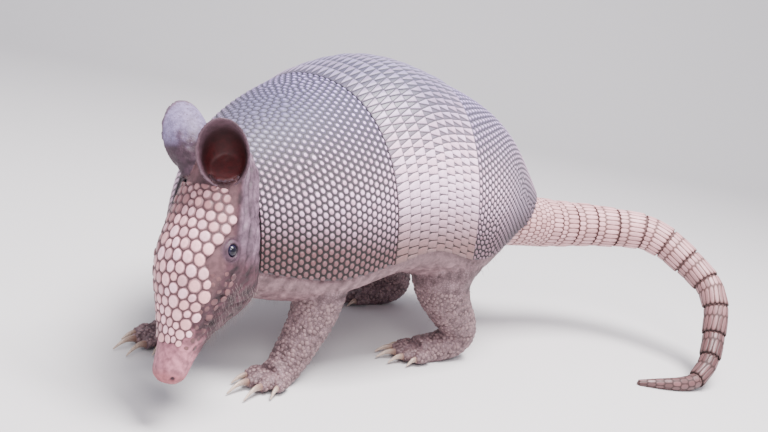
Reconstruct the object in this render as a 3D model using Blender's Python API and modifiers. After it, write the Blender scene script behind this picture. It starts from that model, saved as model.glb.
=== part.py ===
"""Nine-banded armadillo: a still, life-size museum model with its nose lowered to the ground.

Metres, +Z up.  The animal faces -Y and its left side is +X; the floor is z = 0.  The body is drawn
straight, then bend() curves it sideways towards its left.  Each plate of the shell, each length of
the tail, each claw and each part of flesh is one closed solid, parted from its neighbours by GAP.
"""

import math

import bmesh
import bpy
import numpy as np
from mathutils import Matrix, Vector

# ---------------------------------------------------------------- driving dimensions
GAP = 0.0003  # joint between two touching solids
PLATE = 0.0035  # thickness of the shell plates
SKIN_GAP = 0.0009  # shell plate to the trunk beneath it
BEND_PER_METRE = math.radians(186.5)  # sideways curve of the body, towards its left
MODEL_CENTRE = (0.0507, 0.0430)  # middle of the curved model, moved onto the origin

# Shell stations from the nape to the tail notch: rim y, rim z, crest y, crest z, half width
SHELL_STATIONS = (
    (-0.142, 0.078, -0.153, 0.151, 0.033),
    (-0.096, 0.075, -0.101, 0.176, 0.067),
    (-0.044, 0.086, -0.0545, 0.194, 0.084),
    (0.010, 0.094, -0.005, 0.209, 0.087),
    (0.058, 0.086, 0.051, 0.2005, 0.0845),
    (0.100, 0.089, 0.1145, 0.176, 0.073),
    (0.155, 0.101, 0.1635, 0.124, 0.025),
)
BAND_COUNT = 9
SCAPULAR_END = 2.0  # station where the shoulder shield meets the first band
PELVIC_START = 4.0  # station where the last band meets the hip shield
TAIL_NOTCH = 6.0
BAND_RISE = 0.0008  # how far each band's rear edge stands over the next
SHELL_SQUARENESS = 2.2  # exponent of the cross-section, 2 is an ellipse
SHELL_SIDES = 16  # facets from rim to rim
BELLY_SIDES = 8
BELLY_DEPTH = (0.018, 0.026, 0.030, 0.032, 0.032, 0.026, 0.014)  # below the rim, at each station
# Rounded ends of the trunk beyond its last full sections: reach and scale
CHEST_END = (0.013, 0.72)
RUMP_END = (0.003, 0.86)

# Head frame: yaw towards the left, pitch down, tilt of the crown
HEAD_BASE = (0.0633, -0.1653, 0.1352)  # midway between the ears
HEAD_YAW = math.radians(3.0)
HEAD_PITCH = math.radians(74.0)
HEAD_TILT = math.radians(11.5)
HEAD_SIDES = 20
HEAD_RINGS = 14
# Along the head from the nape to the nose: distance, half width, height of crown, depth of jaw
HEAD_STATIONS = (
    (-0.0236, 0.0108, 0.0059, 0.0157),
    (-0.0137, 0.0159, 0.0113, 0.0236),
    (0.0020, 0.0198, 0.0145, 0.0275),
    (0.0196, 0.0234, 0.0165, 0.0329),
    (0.0373, 0.0253, 0.0190, 0.0383),
    (0.0530, 0.0236, 0.0182, 0.0422),
    (0.0668, 0.0191, 0.0142, 0.0344),
    (0.0805, 0.0148, 0.0096, 0.0214),
    (0.0943, 0.0118, 0.0081, 0.0140),
    (0.1061, 0.0107, 0.0080, 0.0102),
    (0.1100, 0.0094, 0.0071, 0.0085),
    (0.1124, 0.0066, 0.0047, 0.0056),
)
HEAD_SHIELD_SPAN = (0.004, 0.092)  # along the head
# Half width of the head shield in degrees from the crown, by distance along the head
HEAD_SHIELD_EDGE = (
    (0.000, 86.0),
    (0.012, 92.0),
    (0.021, 94.0),
    (0.028, 80.0),
    (0.036, 71.0),
    (0.046, 73.0),
    (0.056, 79.0),
    (0.064, 85.0),
    (0.074, 83.0),
    (0.086, 82.0),
    (0.094, 80.0),
)
HEAD_SHIELD_THICKNESS = 0.0014
HEAD_SHIELD_LIFT = 0.0010  # its underside over the head's skin
EYE_RADIUS = 0.0042
EYE_STATION = 0.034
EYE_ANGLE = math.radians(93.0)
EYE_SINK = 0.0030  # eye's centre below the skin

EAR_BASE_STATION = -0.006
EAR_BASE_ANGLE = math.radians(58.0)
EAR_FOOT = 0.0070  # radius of the ear's foot
EAR_HALF_HEIGHT = 0.0208  # of the oval rim
EAR_HALF_WIDTH = 0.0152
EAR_STALK = {"left": 0.0140, "right": 0.0238}  # from the foot to the middle of the rim
EAR_REACH = 0.0080  # how far the rim stands out in front of the foot
EAR_WALL = 0.0014
EAR_SIDES = 14
EAR_TURN = {"left": math.radians(42.0), "right": math.radians(97.0)}  # away from the crown
EAR_LEAN = {"left": math.radians(8.0), "right": math.radians(15.0)}  # outwards
EAR_NOD = {"left": 0.50, "right": 0.15}  # towards the crown

# Neck: where it leaves the shell (straight frame) and meets the head (head's frame)
NECK_MOUTH = (0.0, -0.146, 0.1085)
NECK_MOUTH_SIZE = (0.0275, 0.0350)
NECK_NAPE = (0.0, -0.012, -0.010)
NECK_NAPE_SIZE = (0.0170, 0.0240)
NECK_SIDES = 20

# Tail: joints of the rings in the bent model's place (x, y, z) and their diameters
TAIL_JOINTS = (
    (0.047, 0.161, 0.098, 0.038),
    (0.049, 0.177, 0.097, 0.037),
    (0.054, 0.196, 0.097, 0.0355),
    (0.062, 0.216, 0.098, 0.0335),
    (0.074, 0.235, 0.099, 0.031),
    (0.090, 0.253, 0.100, 0.0285),
    (0.108, 0.265, 0.095, 0.026),
    (0.127, 0.272, 0.085, 0.0235),
    (0.147, 0.275, 0.074, 0.021),
    (0.163, 0.271, 0.058, 0.019),
    (0.172, 0.262, 0.038, 0.017),
    (0.180, 0.249, 0.0235, 0.015),
    (0.182, 0.232, 0.0075, 0.0125),
    (0.174, 0.208, 0.0045, 0.0085),
    (0.158, 0.187, 0.0015, 0.0030),
)
TAIL_RINGS = 12
TAIL_SIDES = 10
TAIL_ROOT = 1.5  # joints that the first ring reaches forward, into the rump
RING_FLARE = 0.0006  # each ring's rear edge stands over the next

# Legs, left side, straight frame: x, y, z and radius of each joint from hip to foot
FRONT_LEG = (
    (0.040, -0.084, 0.094, 0.0240),
    (0.047, -0.080, 0.068, 0.0190),
    (0.048, -0.088, 0.040, 0.0148),
    (0.045, -0.099, 0.0185, 0.0125),
    (0.044, -0.107, 0.0085, 0.0112),
    (0.044, -0.119, 0.0060, 0.0096),
)
HIND_LEG = (
    (0.044, 0.080, 0.098, 0.030),
    (0.056, 0.064, 0.072, 0.025),
    (0.060, 0.071, 0.046, 0.0175),
    (0.057, 0.090, 0.022, 0.0130),
    (0.057, 0.078, 0.0098, 0.0115),
    (0.058, 0.056, 0.0065, 0.0105),
)
# Toes: sideways offset, spread angle outwards, toe length, claw length
FRONT_TOES = (
    (-0.0082, -16.0, 0.014, 0.011),
    (-0.0030, -5.0, 0.021, 0.018),
    (0.0030, 5.0, 0.020, 0.018),
    (0.0082, 17.0, 0.013, 0.010),
)
HIND_TOES = (
    (-0.0092, -20.0, 0.013, 0.009),
    (-0.0050, -9.0, 0.020, 0.013),
    (0.0000, 0.0, 0.022, 0.015),
    (0.0050, 9.0, 0.020, 0.013),
    (0.0092, 20.0, 0.013, 0.009),
)
TOE_RADIUS = 0.0046
TOE_HEIGHT = 0.0046  # of the toes' middles over the floor
CLAW_RADIUS = 0.0026
CLAW_ARCH = 0.11  # rise of the claw's back, of its length
CLAW_DROP = 0.0028  # how much lower its point is than its root
CLAW_ROOT = 0.0025  # length of the claw inside its toe
FRONT_STRIDE = {"left": 0.006, "right": -0.006}  # how far each foot stands back
HIND_STRIDE = {"left": -0.004, "right": 0.005}
FLESH_VOXEL = 0.0017
LEG_TRIANGLES = 260

SKIN = ("skin", (0.30, 0.21, 0.21), 0.75)
SHELL = ("shell", (0.45, 0.37, 0.36), 0.55)
HEAD_SCALE = ("head_scale", (0.62, 0.46, 0.36), 0.55)
TAIL_SCALE = ("tail_scale", (0.60, 0.46, 0.38), 0.6)
CLAW = ("claw", (0.42, 0.32, 0.22), 0.4)
EYE = ("eye", (0.012, 0.010, 0.016), 0.08)


# ---------------------------------------------------------------- curves
def spline(rows):
    """A natural cubic through the rows of a table, as a function of a row number from 0."""
    rows = np.array(rows, dtype=float)
    last = len(rows) - 1
    system = np.eye(last + 1)
    slopes = np.zeros_like(rows)
    for row in range(1, last):
        system[row, row - 1 : row + 2] = (1.0, 4.0, 1.0)
        slopes[row] = 6.0 * (rows[row - 1] - 2.0 * rows[row] + rows[row + 1])
    bow = np.linalg.solve(system, slopes)

    def at(place):
        left = int(min(max(math.floor(place), 0), last - 1))
        t = place - left
        s = 1.0 - t
        straight = s * rows[left] + t * rows[left + 1]
        return straight + ((s**3 - s) * bow[left] + (t**3 - t) * bow[left + 1]) / 6.0

    return at


def bend(point):
    """Moves a point of the straight animal to its place in the curved one."""
    turn = BEND_PER_METRE * point[1]
    return Vector(
        (
            (1.0 - math.cos(turn)) / BEND_PER_METRE + point[0] * math.cos(turn),
            math.sin(turn) / BEND_PER_METRE - point[0] * math.sin(turn),
            point[2],
        )
    )


def set_at(point, anchor):
    """Moves a point of a limb to the curved animal, carried stiffly by its anchor."""
    turn = Matrix.Rotation(-BEND_PER_METRE * anchor[1], 3, "Z")
    stiff = Vector((point[0] - anchor[0], point[1] - anchor[1], 0.0))
    return bend((anchor[0], anchor[1], point[2])) + turn @ stiff


def power(value, exponent):
    """A signed power, for superellipses."""
    return math.copysign(abs(value) ** exponent, value)


shell_station = spline(SHELL_STATIONS)
belly_depth = spline([(depth,) for depth in BELLY_DEPTH])
head_station = spline([row[1:] for row in HEAD_STATIONS])
tail_joint = spline(TAIL_JOINTS)


def shell_surface(station, side):
    """The shell's outer face, straight frame; side runs from 0 at the left rim to 1 at the right."""
    rim_y, rim_z, top_y, top_z, half_width = shell_station(station)
    angle = math.pi * side
    across = power(math.cos(angle), 2.0 / SHELL_SQUARENESS)
    up = power(math.sin(angle), 2.0 / SHELL_SQUARENESS)
    return Vector((half_width * across, rim_y + (top_y - rim_y) * up, rim_z + (top_z - rim_z) * up))


def shell_point(station, side, lift=0.0):
    """A point lifted off the shell's outer face along its normal, in the bent model."""
    step = 0.002
    along = shell_surface(station + step, side) - shell_surface(station - step, side)
    inner = min(max(side, 0.02), 0.98)
    across = shell_surface(station, inner + step) - shell_surface(station, inner - step)
    normal = along.cross(across).normalized()
    return bend(shell_surface(station, side) + normal * lift)


def body_ring(station, shell_lift, belly_lift):
    """One closed section of the body: the arc under the shell, then the belly from right to left."""
    rim_y, rim_z, _, _, half_width = shell_station(station)
    depth = belly_depth(station)[0] + belly_lift
    width = half_width - PLATE - SKIN_GAP + belly_lift
    overhang = max(shell_lift, 0.0) / 0.12
    sides = np.linspace(-overhang, 1.0 + overhang, SHELL_SIDES + 1)
    ring = [shell_point(station, side, shell_lift) for side in sides]
    for step in range(1, BELLY_SIDES):
        angle = math.pi * step / BELLY_SIDES
        x = -width * power(math.cos(angle), 0.85)
        ring.append(bend((x, rim_y, rim_z - belly_lift - depth * math.sin(angle))))
    return ring


def head_frame():
    """Head axes as a matrix: x to the head's left, y back to its nape, z out of its crown."""
    forward = Vector((math.sin(HEAD_YAW), -math.cos(HEAD_YAW), 0.0))
    left = Vector((math.cos(HEAD_YAW), math.sin(HEAD_YAW), 0.0))
    upright = Vector((0.0, 0.0, math.cos(HEAD_TILT))) - left * math.sin(HEAD_TILT)
    nape = upright * math.sin(HEAD_PITCH) - forward * math.cos(HEAD_PITCH)
    side = left * math.cos(HEAD_TILT) + Vector((0.0, 0.0, math.sin(HEAD_TILT)))
    frame = Matrix((side, nape, side.cross(nape))).transposed().to_4x4()
    frame.translation = HEAD_BASE
    return frame


HEAD = head_frame()


def head_row(distance):
    """Half width, crown height and jaw depth at a distance along the head."""
    distances = [row[0] for row in HEAD_STATIONS]
    place = float(np.interp(distance, distances, range(len(distances))))
    return head_station(place)


def head_surface(distance, angle):
    """The head's skin in its own frame; the angle runs from the crown towards its left."""
    half_width, crown, jaw = head_row(distance)
    height = crown if math.cos(angle) > 0.0 else jaw
    return Vector(
        (half_width * power(math.sin(angle), 0.92), -distance, height * power(math.cos(angle), 0.92))
    )


def head_normal(distance, angle):
    """The outward normal of the head's skin in its own frame."""
    step = 0.001
    along = head_surface(distance + step, angle) - head_surface(distance - step, angle)
    around = head_surface(distance, angle + 0.03) - head_surface(distance, angle - 0.03)
    return along.cross(around).normalized()


def head_point(distance, angle, lift=0.0):
    """A point of the head, lifted off its skin, in the model's frame."""
    return HEAD @ (head_surface(distance, angle) + head_normal(distance, angle) * lift)


# ---------------------------------------------------------------- solids
def new_object(name, mesh, finish, collection):
    """Wraps a mesh in an object with its own material."""
    label, colour, roughness = finish
    material = bpy.data.materials.new(f"{name}_{label}")
    material.use_nodes = True
    shader = material.node_tree.nodes["Principled BSDF"]
    shader.inputs["Base Color"].default_value = (*colour, 1.0)
    shader.inputs["Roughness"].default_value = roughness
    shader.inputs["Metallic"].default_value = 0.0
    mesh.materials.append(material)
    obj = bpy.data.objects.new(name, mesh)
    collection.objects.link(obj)
    return obj


def loft_into(form, rings):
    """Adds a closed loft through rings of equal count, capped at both ends, to a bmesh."""
    rows = [[form.verts.new(point) for point in ring] for ring in rings]
    count = len(rows[0])
    for low, high in zip(rows, rows[1:]):
        for i in range(count):
            j = (i + 1) % count
            form.faces.new((low[i], low[j], high[j], high[i]))
    for row in (rows[0], rows[-1]):
        middle = form.verts.new(sum((vert.co for vert in row), Vector()) / count)
        for i in range(count):
            form.faces.new((row[i], row[(i + 1) % count], middle))


def sheet_into(form, outer, inner):
    """Adds a plate between two grids of points to a bmesh."""
    faces = [[[form.verts.new(point) for point in row] for row in grid] for grid in (outer, inner)]
    rows, columns = len(outer), len(outer[0])
    for grid in faces:
        for r in range(rows - 1):
            for c in range(columns - 1):
                form.faces.new((grid[r][c], grid[r][c + 1], grid[r + 1][c + 1], grid[r + 1][c]))
    rim = [(0, c) for c in range(columns)] + [(r, columns - 1) for r in range(1, rows)]
    rim += [(rows - 1, c) for c in range(columns - 2, -1, -1)] + [(r, 0) for r in range(rows - 2, 0, -1)]
    for (r0, c0), (r1, c1) in zip(rim, rim[1:] + rim[:1]):
        form.faces.new((faces[0][r0][c0], faces[0][r1][c1], faces[1][r1][c1], faces[1][r0][c0]))


def mesh_of(form, name):
    """Turns a bmesh into a mesh with its faces pointing out."""
    bmesh.ops.recalc_face_normals(form, faces=form.faces)
    if form.calc_volume(signed=True) < 0.0:
        bmesh.ops.reverse_faces(form, faces=form.faces)
    mesh = bpy.data.meshes.new(name)
    form.to_mesh(mesh)
    form.free()
    mesh.shade_smooth()
    mesh.set_sharp_from_angle(angle=math.radians(35.0))
    return mesh


def lofted(name, lofts):
    """A mesh of one or more closed lofts."""
    form = bmesh.new()
    for rings in lofts:
        loft_into(form, rings)
    return mesh_of(form, name)


def tube(path, radii, sides=10, squash=1.0, up=(0.0, 0.0, 1.0)):
    """Rings about a path; squash narrows them sideways, up says which way is not sideways."""
    path = [Vector(point) for point in path]
    rings = []
    for i, centre in enumerate(path):
        along = (path[min(i + 1, len(path) - 1)] - path[max(i - 1, 0)]).normalized()
        sideways = along.cross(Vector(up)).normalized()
        upward = sideways.cross(along).normalized()
        ring = []
        for step in range(sides):
            angle = 2.0 * math.pi * step / sides
            offset = sideways * (squash * math.cos(angle)) + upward * math.sin(angle)
            ring.append(centre + offset * radii[i])
        rings.append(ring)
    return rings


def sampled(rows, count):
    """Points and radii at even steps of the spline through rows of x, y, z, radius."""
    at = spline(rows)
    samples = [at(place) for place in np.linspace(0.0, len(rows) - 1.0, count)]
    return [Vector(row[:3]) for row in samples], [float(row[3]) for row in samples]


def cut(obj, cutter, solver="EXACT"):
    """Takes a cutter's shape out of a solid."""
    knife = obj.modifiers.new(f"cut_{cutter.name}", "BOOLEAN")
    knife.operation = "DIFFERENCE"
    knife.solver = solver
    knife.object = cutter


def make_cutter(name, mesh, collection):
    """An object that only cuts, never part of the model."""
    obj = bpy.data.objects.new(name, mesh)
    obj.hide_render = True
    obj.display_type = "WIRE"
    collection.objects.link(obj)
    return obj


def make_fleshy(obj, triangles):
    """Melts a solid's overlapping lofts into one skin of about the given number of triangles."""
    melt = obj.modifiers.new("melt", "REMESH")
    melt.mode = "VOXEL"
    melt.voxel_size = FLESH_VOXEL
    melt.use_smooth_shade = True
    graph = bpy.context.evaluated_depsgraph_get()
    quads = len(obj.evaluated_get(graph).data.polygons)
    thin = obj.modifiers.new("thin", "DECIMATE")
    thin.ratio = triangles / (2.0 * quads)


# ---------------------------------------------------------------- shell
def plate_stations(first, last, count):
    """Even stations of one plate, held back from its neighbours by half the joint."""
    step = 0.01
    length = (shell_surface(first + step, 0.5) - shell_surface(first, 0.5)).length / step
    margin = 0.5 * GAP / length
    return np.linspace(first + margin, last - margin, count)


def make_plate(name, first, last, count, rise, collection):
    """One plate of the shell, whose rear edge stands higher than its front by the rise."""
    stations = plate_stations(first, last, count)
    sides = np.linspace(0.0, 1.0, SHELL_SIDES + 1)
    lifts = np.linspace(0.0, rise, count)
    outer = [[shell_point(s, side, lift) for side in sides] for s, lift in zip(stations, lifts)]
    inner = [[shell_point(s, side, -PLATE) for side in sides] for s in stations]
    form = bmesh.new()
    sheet_into(form, outer, inner)
    return new_object(name, mesh_of(form, name), SHELL, collection)


def make_shell(collection):
    """The shoulder shield, the nine movable bands and the hip shield."""
    make_plate("scapular_shield", 0.0, SCAPULAR_END, 8, 0.0, collection)
    width = (PELVIC_START - SCAPULAR_END) / BAND_COUNT
    for number in range(BAND_COUNT):
        first = SCAPULAR_END + number * width
        make_plate(f"band_{number + 1}", first, first + width, 2, BAND_RISE, collection)
    make_plate("pelvic_shield", PELVIC_START, TAIL_NOTCH, 8, 0.0, collection)


def trunk_stations():
    """Stations of the trunk's sections, shared with the plates above it."""
    width = (PELVIC_START - SCAPULAR_END) / BAND_COUNT
    front = list(plate_stations(0.0, SCAPULAR_END, 8))[1:]
    bands = [SCAPULAR_END + number * width for number in range(1, BAND_COUNT)]
    rear = list(plate_stations(PELVIC_START, TAIL_NOTCH, 8))[:-1]
    return front + bands + rear + [TAIL_NOTCH - 0.06]


def drawn_in(ring, before, reach, scale):
    """A smaller ring beyond a section, away from the one before it, for a rounded end."""
    middle = sum(ring, Vector()) / len(ring)
    away = (middle - sum(before, Vector()) / len(before)).normalized()
    return [middle + (point - middle) * scale + away * reach for point in ring]


def with_ends(rings, lift):
    """Adds the rounded ends of the chest and the rump."""
    chest = drawn_in(rings[0], rings[1], CHEST_END[0] + lift, CHEST_END[1])
    rump = drawn_in(rings[-1], rings[-2], RUMP_END[0] + lift, RUMP_END[1])
    return [chest] + rings + [rump]


def make_trunk(collection):
    """The trunk under the shell."""
    rings = [body_ring(station, -PLATE - SKIN_GAP, 0.0) for station in trunk_stations()]
    new_object("trunk", lofted("trunk", [with_ends(rings, 0.0)]), SKIN, collection)


def make_body_rooms(cutters):
    """Cutters that part legs, neck and tail from the trunk with its shell, and from its two mouths."""
    stations = trunk_stations()
    rings = with_ends([body_ring(station, GAP, GAP) for station in stations], 2.0 * GAP)
    rooms = {"body": make_cutter("body_room", lofted("body_room", [rings]), cutters)}
    sides = np.linspace(-0.02, 1.02, SHELL_SIDES + 1)
    for name, first, last in (("nape", -0.006, 0.5), ("rump", TAIL_NOTCH - 0.3, TAIL_NOTCH + 0.006)):
        grids = [
            [[shell_point(place, side, lift) for side in sides] for place in np.linspace(first, last, 5)]
            for lift in (GAP, -PLATE - GAP)
        ]
        form = bmesh.new()
        sheet_into(form, *grids)
        rooms[name] = make_cutter(f"{name}_room", mesh_of(form, f"{name}_room"), cutters)
    return rooms


# ---------------------------------------------------------------- head
def head_rings(lift):
    """Sections of the head from nape to nose."""
    first, last = HEAD_STATIONS[0][0], HEAD_STATIONS[-1][0]
    distances = np.linspace(first - lift, last + lift, HEAD_RINGS)
    angles = [2.0 * math.pi * step / HEAD_SIDES for step in range(HEAD_SIDES)]
    return [[head_point(distance, angle, lift) for angle in angles] for distance in distances]


def eye_centre(sign):
    """The middle of an eyeball, sunk under the skin."""
    return head_point(EYE_STATION, sign * EYE_ANGLE, -EYE_SINK)


def eyeball(name, sign, radius):
    """A ball at an eye's place."""
    form = bmesh.new()
    place = Matrix.Translation(eye_centre(sign))
    bmesh.ops.create_uvsphere(form, u_segments=10, v_segments=7, radius=radius, matrix=place)
    return mesh_of(form, name)


def head_shield_grid(lift):
    """Points over the crown, from its edge beside one eye to the other's."""
    grid = []
    for distance in np.linspace(*HEAD_SHIELD_SPAN, 11):
        edge = math.radians(np.interp(distance, *zip(*HEAD_SHIELD_EDGE)))
        grid.append([head_point(distance, angle, lift) for angle in np.linspace(-edge, edge, 12)])
    return grid


def make_head(nape_room, collection, cutters):
    """The head with its two eyes and the shield over its crown."""
    head = new_object("head", lofted("head", [head_rings(0.0)]), SKIN, collection)
    for side, sign in (("left", 1.0), ("right", -1.0)):
        new_object(f"eye_{side}", eyeball(f"eye_{side}", sign, EYE_RADIUS), EYE, collection)
        socket = eyeball(f"socket_{side}", sign, EYE_RADIUS + GAP)
        cut(head, make_cutter(f"socket_{side}", socket, cutters))
    cut(head, nape_room)
    grids = [head_shield_grid(lift) for lift in (HEAD_SHIELD_LIFT + HEAD_SHIELD_THICKNESS, HEAD_SHIELD_LIFT)]
    form = bmesh.new()
    sheet_into(form, *grids)
    new_object("head_shield", mesh_of(form, "head_shield"), HEAD_SCALE, collection)
    return make_cutter("head_room", lofted("head_room", [head_rings(GAP)]), cutters)


def ear_rings(side, sign, wall, places):
    """Rings of one face of an ear's cup, from its foot (0) to its rim (1), wall deep inside it."""
    foot = head_surface(EAR_BASE_STATION, sign * EAR_BASE_ANGLE)
    lean, turn = EAR_LEAN[side], EAR_TURN[side]
    up = Vector((sign * math.sin(lean), math.cos(lean), EAR_NOD[side])).normalized()
    face = Vector((sign * math.sin(turn), 0.0, math.cos(turn)))
    face = (face - up * face.dot(up)).normalized()
    across = up.cross(face)
    rings = []
    for place in places:
        grown = max(place, 0.0)
        swing = 0.5 * math.pi * grown**0.8
        forward = EAR_REACH * grown**2 - 0.003 * math.sin(math.pi * grown)
        centre = foot + up * (EAR_STALK[side] * place) + face * forward
        width = EAR_FOOT + (EAR_HALF_WIDTH - EAR_FOOT) * grown**0.75 - wall
        height = 0.9 * EAR_FOOT + (EAR_HALF_HEIGHT - 0.9 * EAR_FOOT) * grown**1.1 - wall
        direction = up * math.sin(swing) - face * math.cos(swing)
        ring = []
        for step in range(EAR_SIDES):
            angle = 2.0 * math.pi * step / EAR_SIDES
            offset = direction * (height * math.cos(angle)) + across * (width * math.sin(angle))
            ring.append(HEAD @ (centre + offset))
        rings.append(ring)
    return rings


def make_ear(side, sign, rooms, collection, cutters):
    """One ear: a stalk that opens into a cup with an oval rim."""
    outer = ear_rings(side, sign, 0.0, (-0.16, 0.0, 0.25, 0.5, 0.75, 1.0))
    inner = ear_rings(side, sign, EAR_WALL, (0.97, 0.68, 0.35))
    name = f"ear_{side}"
    ear = new_object(name, lofted(name, [outer + inner]), SKIN, collection)
    for room in rooms:
        cut(ear, room)
    room = ear_rings(side, sign, -GAP, (-0.17, 0.0, 0.2, 0.4, 0.6))
    return make_cutter(f"{name}_room", lofted(f"{name}_room", [room]), cutters)


def oval(centre, side, up, half_width, half_height):
    """A ring of points, for one end of the neck."""
    angles = [2.0 * math.pi * step / NECK_SIDES for step in range(NECK_SIDES)]
    return [
        centre + side * (half_width * math.cos(a)) + up * (half_height * math.sin(a)) for a in angles
    ]


def make_neck(rooms, collection):
    """The neck, from the mouth of the shell to the back of the turned head."""
    side = (bend((0.01, NECK_MOUTH[1], 0.0)) - bend((0.0, NECK_MOUTH[1], 0.0))).normalized()
    up = Vector((0.0, 0.0, 1.0))
    mouth = oval(bend(NECK_MOUTH), side, up, *NECK_MOUTH_SIZE)
    inside = oval(bend((0.0, NECK_MOUTH[1] + 0.03, NECK_MOUTH[2] - 0.006)), side, up, *NECK_MOUTH_SIZE)
    axes = HEAD.to_3x3()
    nape = oval(HEAD @ Vector(NECK_NAPE), axes.col[0], axes.col[1], *NECK_NAPE_SIZE)
    rings = [inside]
    for step in np.linspace(0.0, 1.0, 5):
        rings.append([a.lerp(b, step) for a, b in zip(mouth, nape)])
    neck = new_object("neck", lofted("neck", [rings]), SKIN, collection)
    for room in rooms:
        cut(neck, room, "MANIFOLD")


# ---------------------------------------------------------------- tail
def ring_section(place, lift):
    """A round section of the tail at a place counted in joints."""
    row = tail_joint(place)
    along = Vector((tail_joint(place + 0.01) - tail_joint(place - 0.01))[:3]).normalized()
    sideways = along.cross(Vector((0.0, 0.0, 1.0))).normalized()
    upward = sideways.cross(along)
    centre = Vector(row[:3])
    radius = row[3] / 2.0 + lift
    angles = [2.0 * math.pi * step / TAIL_SIDES for step in range(TAIL_SIDES)]
    return [centre + (sideways * math.cos(a) + upward * math.sin(a)) * radius for a in angles]


def make_tail(rooms, floor_room, collection):
    """Twelve rings and the tapering tip, which lies on the floor."""
    for number in range(TAIL_RINGS):
        margin = 0.5 * GAP / Vector((tail_joint(number + 1) - tail_joint(number))[:3]).length
        first = number + margin - (TAIL_ROOT if number == 0 else 0.0)
        last = number + 1.0 - margin
        rings = [ring_section(first, 0.0), ring_section((first + last) / 2.0, RING_FLARE / 2.0)]
        rings.append(ring_section(last, RING_FLARE))
        name = f"tail_ring_{number + 1}"
        ring = new_object(name, lofted(name, [rings]), TAIL_SCALE, collection)
        if number == 0:
            for room in rooms:
                cut(ring, room)
        if number == TAIL_RINGS - 1:
            cut(ring, floor_room)
    places = np.linspace(TAIL_RINGS + 0.006, len(TAIL_JOINTS) - 1.0, 6)
    rings = [ring_section(place, 0.0) for place in places]
    tip = new_object("tail_tip", lofted("tail_tip", [rings]), TAIL_SCALE, collection)
    cut(tip, floor_room)


# ---------------------------------------------------------------- legs
def toe_rows(foot, toe, sign):
    """Start, direction and end of one toe, straight frame."""
    offset, spread, length, _ = toe
    angle = math.radians(spread)
    ahead = Vector((sign * math.sin(angle), -math.cos(angle), 0.0))
    start = Vector((foot[0] + sign * offset, foot[1] + TOE_RADIUS, TOE_HEIGHT))
    return start, ahead, start + ahead * length


def claw_rings(rows, toe, sign, lift):
    """Sections of one claw, curved down to the floor from inside its toe."""
    _, ahead, end = toe_rows(rows[-1], toe, sign)
    root = end - ahead * (CLAW_ROOT + lift)
    length = toe[3] + CLAW_ROOT
    path, radii = [], []
    for t in np.linspace(0.0, 1.0, 4):
        arch = CLAW_ARCH * length * math.sin(math.pi * t) - CLAW_DROP * t * t
        path.append(set_at(root + ahead * (length * t) + Vector((0.0, 0.0, arch)), rows[0]))
        radii.append(CLAW_RADIUS * (1.0 - 0.78 * t**1.4) + lift)
    return tube(path, radii, sides=6, squash=0.72)


def mirrored(rows, sign, stride):
    """A leg's rows on either side, with the foot set back by the stride."""
    top = rows[0][2]
    return [(sign * x, y + stride * (1.0 - z / top), z, r) for x, y, z, r in rows]


def make_leg(name, rows, toes, sign, rooms, collection, cutters):
    """A leg with its foot and toes in one skin, and the claws set into it."""
    path, radii = sampled(rows, 3 * len(rows))
    lofts = [tube([set_at(point, rows[0]) for point in path], radii, sides=14, up=(0.0, 1.0, 0.02))]
    claws = []
    for number, toe in enumerate(toes):
        start, _, end = toe_rows(rows[-1], toe, sign)
        knuckle = start.lerp(end, 0.5) + Vector((0.0, 0.0, 0.0016))
        rows_of_toe = [(*start, TOE_RADIUS), (*knuckle, TOE_RADIUS * 1.06), (*end, TOE_RADIUS * 0.72)]
        toe_path, toe_radii = sampled(rows_of_toe, 5)
        lofts.append(tube([set_at(point, rows[0]) for point in toe_path], toe_radii, sides=10))
        claw_name = f"claw_{name}_{number + 1}"
        mesh = lofted(claw_name, [claw_rings(rows, toe, sign, 0.0)])
        new_object(claw_name, mesh, CLAW, collection)
        claws.append(claw_rings(rows, toe, sign, GAP))
    leg = new_object(f"leg_{name}", lofted(f"leg_{name}", lofts), SKIN, collection)
    make_fleshy(leg, LEG_TRIANGLES)
    rooms = rooms + [make_cutter(f"claw_room_{name}", lofted(f"claw_room_{name}", claws), cutters)]
    for room in rooms:
        cut(leg, room)


def make_floor_room(cutters):
    """A slab below the floor, which leaves flats under the feet and the tail's end."""
    form = bmesh.new()
    place = Matrix.Translation((0.0, 0.0, -0.05)) @ Matrix.Diagonal((1.0, 1.0, 0.1, 1.0))
    bmesh.ops.create_cube(form, size=1.0, matrix=place)
    return make_cutter("floor_room", mesh_of(form, "floor_room"), cutters)


def main():
    """Builds every solid of the armadillo."""
    for obj in list(bpy.data.objects):
        bpy.data.objects.remove(obj, do_unlink=True)
    collection = bpy.data.collections.new("armadillo")
    cutters = bpy.data.collections.new("cutters")
    for group in (collection, cutters):
        bpy.context.scene.collection.children.link(group)
    origin = bpy.data.objects.new("armadillo", None)
    collection.objects.link(origin)

    make_shell(collection)
    make_trunk(collection)
    rooms = make_body_rooms(cutters)
    head_room = make_head(rooms["nape"], collection, cutters)
    floor_room = make_floor_room(cutters)
    neck_rooms = [rooms["body"], rooms["nape"], head_room]
    for side, sign in (("left", 1.0), ("right", -1.0)):
        neck_rooms.append(make_ear(side, sign, [head_room, rooms["nape"]], collection, cutters))
        below = [rooms["body"], floor_room]
        rows = mirrored(FRONT_LEG, sign, FRONT_STRIDE[side])
        make_leg(f"front_{side}", rows, FRONT_TOES, sign, below, collection, cutters)
        rows = mirrored(HIND_LEG, sign, HIND_STRIDE[side])
        make_leg(f"hind_{side}", rows, HIND_TOES, sign, below, collection, cutters)
    make_neck(neck_rooms, collection)
    make_tail([rooms["body"], rooms["rump"]], floor_room, collection)

    for obj in list(collection.objects) + list(cutters.objects):
        if obj is not origin:
            obj.parent = origin
    origin.location = (-MODEL_CENTRE[0], -MODEL_CENTRE[1], 0.0)
    bpy.context.view_layer.update()


main()
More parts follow.
